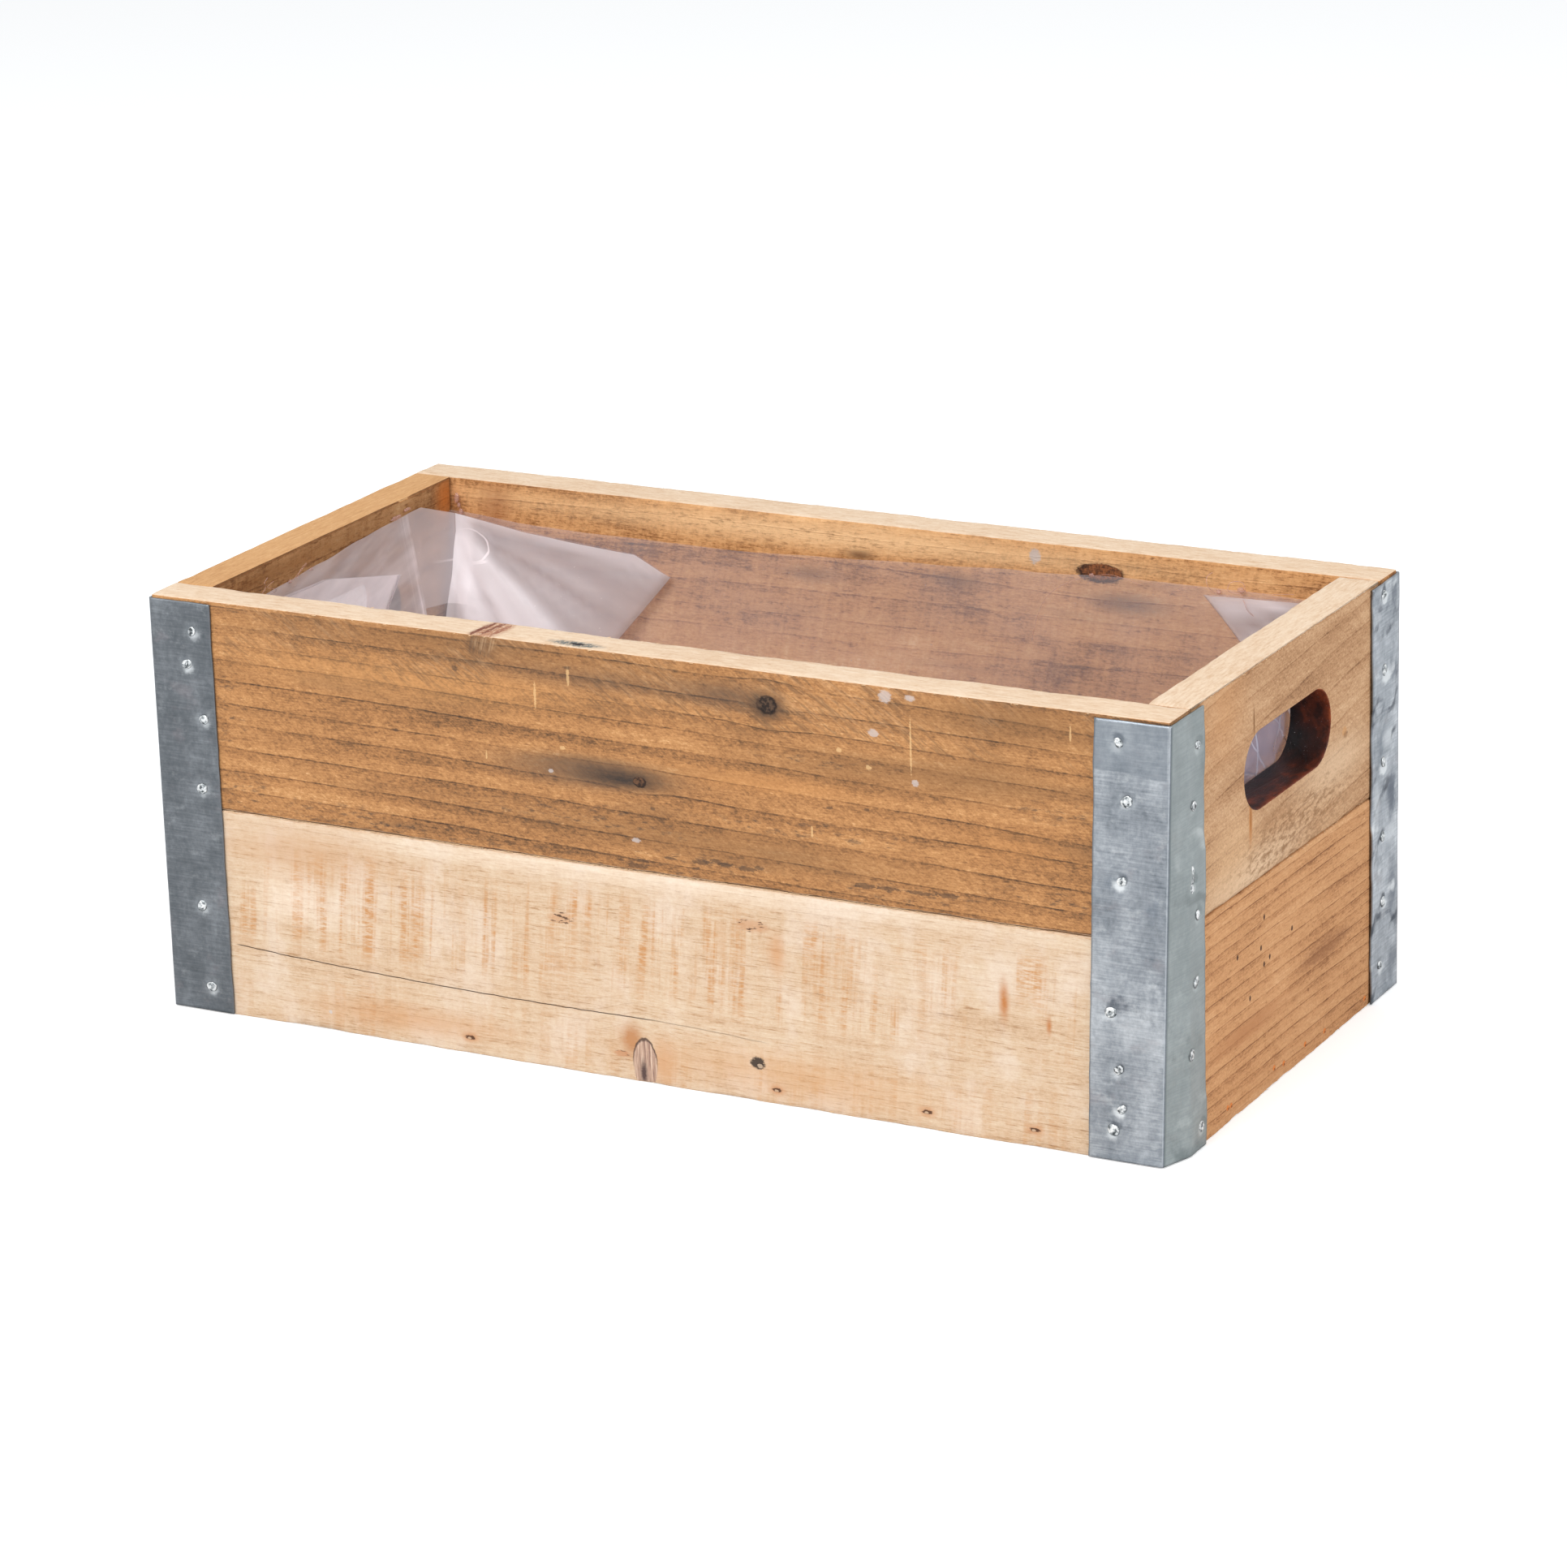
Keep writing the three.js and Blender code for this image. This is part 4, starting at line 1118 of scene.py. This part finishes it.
# An ear's falls are how far the top edge lies below its root, at shares of the way to the tip,
# and its root is how far from the corner the outer layer starts.
EARS = [
    {
        "wall": "left", "at_end": True, "reach": 153, "lift": 8, "gap": 15, "seed": 51,
        "falls": [(0, 0), (0.5, 3.2), (0.57, 3.4), (1, 18.4)],
    },
    {
        "wall": "front", "at_end": True, "reach": 120, "lift": 8, "gap": 15, "seed": 52,
        "falls": [(0, 0), (0.84, 10.1), (1, 14)],
    },
    {
        "wall": "back", "at_end": False, "reach": 64, "lift": 14, "gap": 21, "seed": 53, "opens": 0.6,
        "falls": [(0, 0), (0.84, 0.8), (1, 2)],
    },
    {
        "wall": "back", "at_end": True, "reach": 122, "lift": 14, "gap": 30, "seed": 54, "root": 5,
        "falls": [(0, 0), (0.18, 2.8), (0.33, 5.4), (0.56, 7.8), (0.84, 10.5), (1, 20)],
    },
]


def eased(value, low, high):
    """0 at low and 1 at high, with a soft start and end."""
    share = min(1.0, max(0.0, (value - low) / (high - low)))
    return share * share * (3 - 2 * share)


def bell(value, middle, width):
    return math.exp(-((value - middle) / width) ** 2)


def wall_length(wall):
    return 2 * abs(np.dot(INNER_HALF, WALLS[wall][0][:2]))


def film_drop(wall, along):
    """How far the film's edge lies below the rim."""
    drops = FILM_DROPS[wall]
    place = along / wall_length(wall) * (len(drops) - 1)
    index = min(int(place), len(drops) - 2)
    return (drops[index] + (drops[index + 1] - drops[index]) * eased(place - index, 0, 1)) * MM


def film_point(wall, along, off, z):
    way, _, inward = (np.array(direction[:2]) for direction in WALLS[wall])
    start = -(way + inward) * INNER_HALF
    return (*(start + way * along + inward * off), z)


def wall_column(wall, along, level):
    """A point of the film where it lies on a wall, with how milky the film is there."""
    top = RIM - film_drop(wall, along)
    z = FILM_FLOOR + (top - FILM_FLOOR) * level
    spot = film_point(wall, along, 0, z)
    slack = eased(min(along, wall_length(wall) - along), 0, 40 * MM)
    ripple = max(0.0, rough(spot, 16, 3, 2) + 0.25) * 2.0 + max(0.0, rough(spot, 60, 4, 2)) * 0.7
    milk = WALL_MILK
    if wall == "right":
        ripple += 3.0 * abs(rough(spot, 38, 5, 2)) ** 0.6
        gap = math.hypot(max(0.0, abs(spot[1]) - 28 * MM), z - 149 * MM)
        milk += 0.42 * eased(gap, 36 * MM, 18 * MM)
    foot = 5 * math.exp(-(z - FILM_FLOOR) / (5 * MM))
    off = (0.8 + ripple * (0.35 + 0.65 * slack) + foot) * MM
    return (*film_point(wall, along, off, z), milk)


def ear_column(ear, share, outer, level):
    """A point of an ear: outer is the layer away from the wall, and share runs to the tip."""
    length = wall_length(ear["wall"])
    grown = eased(level, 0, 0.2)
    opens = ear.get("opens", 0.0)
    depth = ear["reach"] * MM * max(level * 0.12, (level - opens) / (1 - opens))
    root = ear.get("root", 0.0) * MM * grown if outer else 0.0
    far = root + share * (depth - root)
    along = length - far if ear["at_end"] else far
    corner = RIM - film_drop(ear["wall"], length if ear["at_end"] else 0.0)
    top = corner - np.interp(share, *zip(*ear["falls"])) * MM
    z = FILM_FLOOR + (top - FILM_FLOOR) * level
    below = top - z
    angle = math.atan2(corner - z, far + 1e-6)
    away = math.hypot(corner - z, far)
    seed = ear["seed"]
    pleats = noise.noise((angle * 4.2, 0.3, seed)) + 0.6 * noise.noise((angle * 10, 0.7, seed))
    pleats += 0.25 * noise.noise((angle * 24, 0.2, seed))
    soft = rough((far, z, seed), 26, seed, 2)
    spread = eased(away, 0, 40 * MM) * (1.1 - 0.6 * eased(away, 60 * MM, 170 * MM))
    crease = math.sqrt(max(0.0, 1 - share ** 6))
    hang = eased(below, 0, 62 * MM) * eased(z, FILM_FLOOR, 120 * MM)
    swell = ear["lift"] * hang * (0.55 + 0.45 * math.exp(-far / (30 * MM)))
    if outer:
        off = 4.0 + swell + (1.6 + 2.3 * pleats * spread + 1.4 * soft) * crease
        off = max(off, 4.0 + swell * 0.6)
        milk = ear_milk(ear, angle, away, far, below, z, pleats)
    else:
        off = 3.6 + swell * 0.62 - 0.4 * crease + 0.3 * soft * crease
        milk = 0.26 if ear["wall"] == "left" else 0.12
    off = 1.2 + (off - 1.2) * grown
    return (*film_point(ear["wall"], along, off * MM, z), milk)


def ear_milk(ear, angle, away, far, below, z, pleats):
    """How milky an ear's outer layer is, by the angle under its top edge and the way from its root. The
    milkiness also carries painted highlights: a broad sheen, and on the back left ear a bright spot near
    the root and a bloom.
    """
    if ear["wall"] == "left":
        return 0.44
    # Painted highlight: a broad sheen under the top edge and along it
    white = 0.95 * bell(angle, 0.88, 0.33 if angle < 0.88 else 0.52) * eased(away, 150 * MM, 70 * MM)
    white += 0.5 * bell(angle, 0.12, 0.1) + 0.3
    white = white * (0.9 + 0.7 * min(0.3, max(-0.3, pleats)))
    bloom = 0.0
    if "root" in ear:
        # Painted highlight: a bright spot near this ear's root, and a bloom lower down
        white += 1.7 * bell(far, 8 * MM, 4.5 * MM) * bell(z, 166 * MM, 12 * MM)
        white += 0.3 * eased(below, 50 * MM, 20 * MM) * eased(far, 26 * MM, 10 * MM)
        bloom = 0.22 * bell(angle, 1.15, 0.25)
        bloom *= eased(away, 8 * MM, 25 * MM) * eased(away, 90 * MM, 50 * MM)
    return 0.14 + 0.62 * min(1.0, max(0.0, white)) + bloom


def beside(root, neighbour):
    """A point close to an ear's root on the side of the wall's film, as clear as that film."""
    way = np.array(neighbour[:3]) - root[:3]
    return (*(root[:3] + way / np.linalg.norm(way) * 0.3 * MM), WALL_MILK)


def film_loop(level):
    """The film's points round the box at one level, 0 at the floor and 1 at the top edge."""
    loop = []
    walls = list(FILM_DROPS)
    grown = eased(level, 0, 0.2)
    for index, wall in enumerate(walls):
        before, after = EARS[index], EARS[(index + 1) % 4]
        length = wall_length(wall)
        count = round(length / FILM_STEP)
        start_gap, end_gap = (
            0.0 if ear["wall"] == wall else ear["gap"] * MM * grown for ear in (before, after)
        )
        for along in length * np.arange(count + 1) / count:
            along = start_gap + along * (1 - start_gap / length)
            along = along * (1 - end_gap / length)
            loop.append(wall_column(wall, min(along, length), level))
        shares = np.linspace(0, 1, EAR_STEPS)
        on_next = after["wall"] != wall
        outward = [ear_column(after, share, on_next, level) for share in shares]
        back = [ear_column(after, share, not on_next, level) for share in shares[::-1]]
        if on_next:
            outward.insert(0, beside(outward[0], loop[-1]))
        loop.extend(outward + back)
        if not on_next:
            first = wall_column(walls[(index + 1) % 4], after["gap"] * MM * grown, level)
            loop.append(beside(loop[-1], first))
    return loop


def make_film(material):
    rows = [film_loop(row / FILM_ROWS) for row in range(FILM_ROWS + 1)]
    columns = len(rows[0])
    points = [point for row in rows for point in row]
    faces = grid_faces(FILM_ROWS + 1, columns, closed="columns")
    start = 0
    for ring in range(1, FLOOR_RINGS + 1):
        share = ring / FLOOR_RINGS
        first = len(points)
        for x, y, z, milk in rows[0]:
            spine = max(INNER_HALF[1] - INNER_HALF[0], min(INNER_HALF[0] - INNER_HALF[1], x))
            place = (x + (spine - x) * share, y * (1 - share), 0)
            wave = max(0.0, rough(place, 14, 8, 2)) * 1.5 * MM
            points.append((place[0], place[1], FILM_FLOOR + wave * min(1, share * 5), milk))
        for column in range(columns):
            after = (column + 1) % columns
            faces.append((start + column, first + column, first + after, start + after))
        start = first
    points, faces = weld(points, faces)
    milk = np.repeat(points[:, 3:], 3, axis=1)
    piece = add_mesh("folded_film", points[:, :3], faces, material, "clear_film", milk=milk)
    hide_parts("film_liner")


def left_folds(sh, place):
    """The haze of the folds that lie on the left wall, where the film turns up to the corner."""
    x, y, z = sh.split(place)
    near = sh.smooth(x, -214 * MM, -220 * MM)
    fold = y - 68 * MM + (z - 160 * MM) * 0.2
    film_side = sh.smooth(fold, 0.6 * MM, -0.6 * MM)
    band = sh.smooth(fold, -12 * MM, -1 * MM) * film_side
    streak = sh.spots(sh.join(fold, z * 0.1), (420, 60, 1), 3.0, 0.6, 0.48, 0.66)
    beyond = sh.smooth(fold, -0.6 * MM, 0.6 * MM)
    bare = beyond * sh.smooth(z + (y - 76 * MM) * 0.07, 139.4 * MM, 138.6 * MM)
    slack = sh.spots(sh.join(y * 0.4 + z, z - y * 0.3), (36, 84, 1), 2.0, 0.5, 0.3, 0.75)
    share = band * (0.1 + streak * 0.3) + film_side * 0.12 + slack * film_side * 0.22
    share = share + beyond * 0.22 - bare * 0.2
    return share * near * sh.smooth(y, 100 * MM, 97 * MM)


def glints(sh, place):
    """A painted highlight: the bright loop and curl where the ear at the back left corner is pinched."""
    x, y, z = sh.split(place)
    wobble = (sh.noise(place, (160, 160, 160)) - 0.5) * 0.1
    around = sh.vector("DISTANCE", sh.join(x / 11.4, z / 8.4), (-218.6 / 11.4 * MM, 165 / 8.4 * MM, 0))
    loop = sh.smooth(abs(around / MM - 1.0 + wobble), 0.07, 0.02)
    loop = loop * sh.smooth(x - (z - 165 * MM) * 0.4, -228 * MM, -216 * MM)
    loop = loop * sh.smooth(z, 177 * MM, 168 * MM)
    tail = abs(z - 157 * MM - (x + 217 * MM) * 0.18 + wobble * 6 * MM)
    tail = sh.smooth(tail, 0.9 * MM, 0.3 * MM) * sh.smooth(x, -206 * MM, -212 * MM)
    tail = tail * sh.smooth(x, -226 * MM, -222 * MM)
    reach = sh.smooth(y, 74 * MM, 84 * MM) * sh.smooth(x, -196 * MM, -202 * MM)
    return sh.math("MAXIMUM", loop, tail) * reach * sh.smooth(z, 150 * MM, 153 * MM) * 0.55


def hole_creases(sh, place):
    """Sharp white creases where the film shows through the right hand hole."""
    x, y, z = sh.split(place)
    bend = sh.noise(place, (30, 30, 30), 2.0, 0.4) * 0.9
    steep, flat = (
        sh.smooth(abs(sh.math("FRACT", across + bend) - 0.5), 0.04, 0.012)
        for across in ((y * 0.8 + z) * 46, (z * 0.3 - y) * 38)
    )
    share = sh.math("MAXIMUM", steep, flat) * sh.noise(place, (60, 60, 60), 1.0)
    return share * sh.smooth(x, 216 * MM, 220 * MM) * sh.smooth(z, 120 * MM, 128 * MM) * 0.6


def film():
    """Clear film with a faint violet haze, which also carries painted highlights on the ears. Its shine is
    that of two surfaces.
    """
    sh = Shader("clear_film")
    place = sh.position()
    x, y, z = sh.split(place)
    cloud = sh.noise(place, (26, 26, 26), 3.0, 0.6)
    normal = sh.bump(cloud + sh.noise(place, (240, 240, 240)) * 0.06, 1.6 * MM, 0.3)
    creases = hole_creases(sh, place)
    shaded = sh.smooth(x, 216 * MM, 220 * MM) * sh.smooth(z, 120 * MM, 128 * MM)
    shaded = shaded * sh.smooth(abs(y), 62 * MM, 46 * MM) * (1 - creases)
    haze_colour = sh.blend((249, 240, 243), (156, 160, 190), shaded)
    clear = sh.node("BsdfTransparent", {"Color": (0.92, 0.91, 0.92, 1.0)})
    haze = sh.node("BsdfDiffuse", {"Color": haze_colour})
    shine = sh.node("BsdfGlossy", {"Color": (0.96, 0.95, 1.0, 1.0), "Roughness": 0.24, "Normal": normal})
    grazing = sh.node("LayerWeight", {"Blend": 0.5, "Normal": normal}, "Facing")
    mirror = sh.math("MULTIPLY", sh.math("POWER", grazing, 4.0), 0.6) + 0.06
    dust = sh.spots(place, (1100, 1100, 1100), 1.0, 0.5, 0.76, 0.8)
    # The haze share also carries painted highlights: the ears' sheen from the points and the glints' loop
    milky = sh.split(sh.attribute("milk"))[0] + (cloud - 0.5) * 0.12 + dust * 0.16
    milky = milky + left_folds(sh, place) + glints(sh, place) + creases
    body = sh.node("MixShader", (sh.math("ADD", milky, 0.0, True), clear, haze))
    return sh.finish(sh.node("MixShader", (sh.math("MULTIPLY", mirror, 1.0, True), body, shine)))


# Small things: fibres along the sawn edges, and the hot glue that holds the film

FIBRE_EDGES = [
    # first end, last end, the way the fibres stand out, how many, how flat they lie
    ((-236, -124, 196.2), (236, -124, 196.2), (0, -1, 0.1), 60, 1.0),
    ((-215, -124, 98.4), (215, -124, 98.4), (0, -1, -0.4), 90, 1.0),
    ((-215, -123.9, 98.5), (190, -123.9, 98.5), (0, -1, 0), 420, 6.0),
    ((-210, -103.7, 196.3), (225, -103.7, 196.3), (0, 1, 0.05), 40, 1.0),
    ((-240, 124, 196.2), (240, 124, 196.2), (0, 1, 0.05), 50, 1.0),
    ((-250, -96, 196.0), (-250, 100, 196.0), (-1, 0, -0.1), 40, 1.0),
    ((250, -90, 196.0), (250, 90, 196.0), (1, 0, 0.05), 30, 1.0),
    ((-216, -124, 0.9), (212, -124, 0.9), (0, -1, 0.1), 60, 1.0),
    ((250, -88, 1.0), (250, 90, 1.0), (1, 0, 0.15), 30, 1.0),
    ((250, -92, 99), (250, 92, 99), (1, 0, -0.3), 30, 1.0),
]
FIBRE_TOP = 196.7


def make_fibres(material):
    """Thin splinters, each a bent sliver of three sides, that the saw left along the edges."""
    chance = random.Random(SEED)
    points, faces = [], []
    for first, last, out, count, flat in FIBRE_EDGES:
        first, last, out = Vector(first), Vector(last), Vector(out).normalized()
        along = (last - first).normalized()
        for _ in range(count):
            root = first.lerp(last, chance.random()) - out * 0.2
            length = chance.uniform(0.7, 2.6) * (1.5 if chance.random() < 0.1 else 1.0)
            lean = along * chance.choice((-1, 1)) * chance.uniform(0.5, 2.4) * flat
            thick = chance.uniform(0.08, 0.2)
            heading = (out * chance.uniform(0.25, 1.0) + lean).normalized()
            tip = root + heading * length
            tip -= out * max(0.0, (tip - first).dot(out) - 1.7)
            tip.z = min(max(tip.z, 0.4), FIBRE_TOP)
            middle = (root + tip) / 2 + out * chance.uniform(0, 0.25)
            middle.z = min(middle.z, FIBRE_TOP)
            start = len(points)
            side = heading.cross(out)
            side = side.normalized() if side.length > 0.01 else Vector((0, 0, 1))
            for centre, size in ((root, thick), (middle, thick * 0.8)):
                for turn in range(3):
                    angle = turn * 2.1
                    shift = side * math.cos(angle) * size + out * math.sin(angle) * size
                    points.append((centre + shift) * MM)
            points.append(tip * MM)
            for turn in range(3):
                a, b = start + turn, start + (turn + 1) % 3
                faces += [(a, b, b + 3, a + 3), (a + 3, b + 3, start + 6)]
    add_mesh("edge_fibres", points, faces, material, "pale_wood")


def fibre_wood():
    sh = Shader("edge_fibre")
    return sh.finish(sh.surface(
        Base_Color=srgb(232, 198, 156), Roughness=0.8, Specular_IOR_Level=0.2,
    ))


def curve_through(places, count=14):
    """A smooth path of count steps between each pair of places."""
    ends = [places[0], *places, places[-1]]
    path = []
    for index in range(1, len(ends) - 2):
        a, b, c, d = (np.array(ends[index + shift], float) for shift in (-1, 0, 1, 2))
        for step in range(count):
            t = step / count
            path.append(0.5 * (
                2 * b + (c - a) * t + (2 * a - 5 * b + 4 * c - d) * t ** 2
                + (3 * b - a - 3 * c + d) * t ** 3
            ))
    return [Vector(place) for place in (*path, places[-1])]


def add_thread(points, faces, places, radius, sides=5):
    """Adds a thin round thread through places in millimetres, narrower at its ends."""
    start = len(points)
    path = curve_through(places)
    last = len(path) - 1
    for index, place in enumerate(path):
        ahead = path[min(index + 1, last)] - path[max(index - 1, 0)]
        side = ahead.cross(Vector((0.3, 0.2, 1))).normalized()
        other = ahead.cross(side).normalized()
        size = radius * (0.35 if index in (0, last) else 1.0)
        for turn in range(sides):
            angle = turn * 2 * math.pi / sides
            points.append((place + side * math.cos(angle) * size + other * math.sin(angle) * size) * MM)
    faces += grid_faces(len(path), sides, start, closed="columns")
    faces.append(tuple(start + turn for turn in range(sides))[::-1])
    faces.append(tuple(start + last * sides + turn for turn in range(sides)))


# Threads of glue as their radius and the places they go through, and dabs as place and size
GLUE_THREADS = [
    (0.16, [(-228, -68, 181), (-226, -72, 184), (-227, -66, 187), (-225, -70, 190), (-227, -64, 191)]),
    (0.14, [(-228, -60, 182), (-224, -62, 185), (-226, -66, 187), (-225, -62, 189)]),
    (0.14, [(-228, -44, 183), (-225, -42, 187), (-227, -36, 187), (-225, -34, 190)]),
    (0.13, [(-227, -40, 184), (-226, -38, 188), (-228, -30, 189)]),
    (0.12, [(110, 101, 184), (100, 99, 181), (90, 99, 174), (84, 100, 164), (80, 101, 150)]),
    (0.12, [(110, 101, 184), (120, 98, 187), (130, 97, 186), (136, 100, 183)]),
    (0.12, [(163, 101, 185), (156, 98, 184), (150, 99, 180)]),
    (0.2, [(172, 101, 183), (170, 97, 187), (169, 98, 191), (171, 100, 193)]),
    (0.2, [(184, 101, 184), (180, 97, 186), (181, 97, 190), (186, 99, 190), (187, 100, 185)]),
    (0.24, [(184, 101, 184), (188, 96, 182), (190, 96, 178), (194, 98, 174)]),
    (0.14, [(186, 99, 186), (200, 96, 187), (212, 97, 188)]),
]
GLUE_DABS = [
    ((-226.5, 102, 187), (1.3, 1.0, 2.4)), ((-224.5, 102, 180), (1.1, 1.0, 2.0)),
    ((-225.6, 102.2, 183.4), (0.8, 0.8, 1.2)),
    ((-229.6, 52, 189.5), (0.6, 5.0, 0.9)), ((-229.6, 62, 191), (0.6, 3.0, 0.7)),
    ((-229.6, -24, 184), (0.6, 2.0, 0.7)), ((184, 101.8, 185.5), (1.7, 1.1, 1.3)),
    ((173, 102, 183.5), (1.3, 0.9, 1.0)), ((110, 102.4, 184.5), (1.2, 0.8, 0.8)),
    ((-229.6, -66, 181.5), (0.6, 1.8, 0.9)), ((-229.6, -42, 183), (0.6, 1.3, 0.8)),
]
DAB_RINGS, DAB_SIDES = 8, 12


def make_glue(material):
    points, faces = [], []
    for radius, places in GLUE_THREADS:
        add_thread(points, faces, places, radius)
    for number, (centre, size) in enumerate(GLUE_DABS):
        start = len(points)
        for ring in range(DAB_RINGS + 1):
            polar = math.pi * ring / DAB_RINGS
            for turn in range(DAB_SIDES):
                angle = 2 * math.pi * turn / DAB_SIDES
                way = Vector((
                    math.sin(polar) * math.cos(angle), math.sin(polar) * math.sin(angle), math.cos(polar),
                ))
                lump = 1 + 0.55 * rough(way, 2.2, number, 3)
                points.append((Vector(centre) + Vector([w * s * lump for w, s in zip(way, size)])) * MM)
        for ring in range(DAB_RINGS):
            for turn in range(DAB_SIDES):
                a = start + ring * DAB_SIDES + turn
                b = start + ring * DAB_SIDES + (turn + 1) % DAB_SIDES
                faces.append((a, a + DAB_SIDES, b + DAB_SIDES, b))
    points, faces = weld(points, faces)
    add_mesh("glue_dabs_and_threads", points, faces, material, "clear_film")


def hot_glue():
    sh = Shader("hot_glue")
    return sh.finish(sh.surface(
        Base_Color=srgb(214, 168, 156), Roughness=0.14, Alpha=0.34, IOR=1.48,
    ))


# Camera, lights and floor

def set_camera():
    data = bpy.data.cameras.new("camera")
    camera = link(bpy.data.objects.new("camera", data))
    camera.location = (1.13487, -2.09645, 0.87566)
    camera.rotation_euler = [math.radians(angle) for angle in (71.9975, 1.6086, 27.8431)]
    data.sensor_width = 36
    data.lens = 127.08
    bpy.context.scene.camera = camera


def add_lamp(name, place, size, power):
    """A soft rectangular lamp that points at the middle of the box."""
    data = bpy.data.lights.new(name, "AREA")
    data.energy = power
    data.shape = "RECTANGLE"
    data.size, data.size_y = size
    lamp = link(bpy.data.objects.new(name, data))
    lamp.location = place
    lamp.rotation_euler = (Vector((0, 0, 0.1)) - Vector(place)).to_track_quat("-Z", "Y").to_euler()


def set_world():
    """An even studio light, which looks plain white to the camera and in anything that shines."""
    sh = Shader("studio", "worlds")
    seen = sh.math(
        "MAXIMUM", *(sh.node("LightPath", output=ray) for ray in ("Is Camera Ray", "Is Glossy Ray")),
    )
    soft = sh.node("Background", {"Color": (0.94, 0.97, 1.0, 1.0), "Strength": 0.5})
    plain = sh.node("Background", {"Color": (1, 1, 1, 1), "Strength": 1.0})
    bpy.context.scene.world = sh.finish(sh.node("MixShader", (seen, soft, plain)), "World")


def set_floor():
    """White paper, which the camera sees so bright that only a shadow shows on it."""
    half = 4.0
    mesh = bpy.data.meshes.new("floor")
    corners = [(-half, -half, 0), (half, -half, 0), (half, half, 0), (-half, half, 0)]
    mesh.from_pydata(corners, [], [(0, 1, 2, 3)])
    floor = link(bpy.data.objects.new("floor", mesh))
    sh = Shader("floor_paper")
    paper = sh.node("BsdfDiffuse", {"Color": (0.82, 0.82, 0.82, 1.0)})
    strength = sh.node("LightPath", output="Is Camera Ray") * 0.42
    glow = sh.node("Emission", {"Color": (1, 1, 1, 1), "Strength": strength})
    mesh.materials.append(sh.finish(sh.node("AddShader", (paper, glow))))


bpy.context.scene.view_settings.view_transform = "Standard"
set_camera()
set_world()
set_floor()
add_lamp("key", (-0.5, -2.1, 2.3), (1.8, 1.4), 66)
add_lamp("side", (2.6, -0.5, 1.5), (1.2, 1.4), 32)
add_lamp("top", (0.2, 0.5, 2.6), (1.8, 1.2), 10)
all_boards()
all_straps()
make_film(film())
make_glue(hot_glue())
make_fibres(fibre_wood())
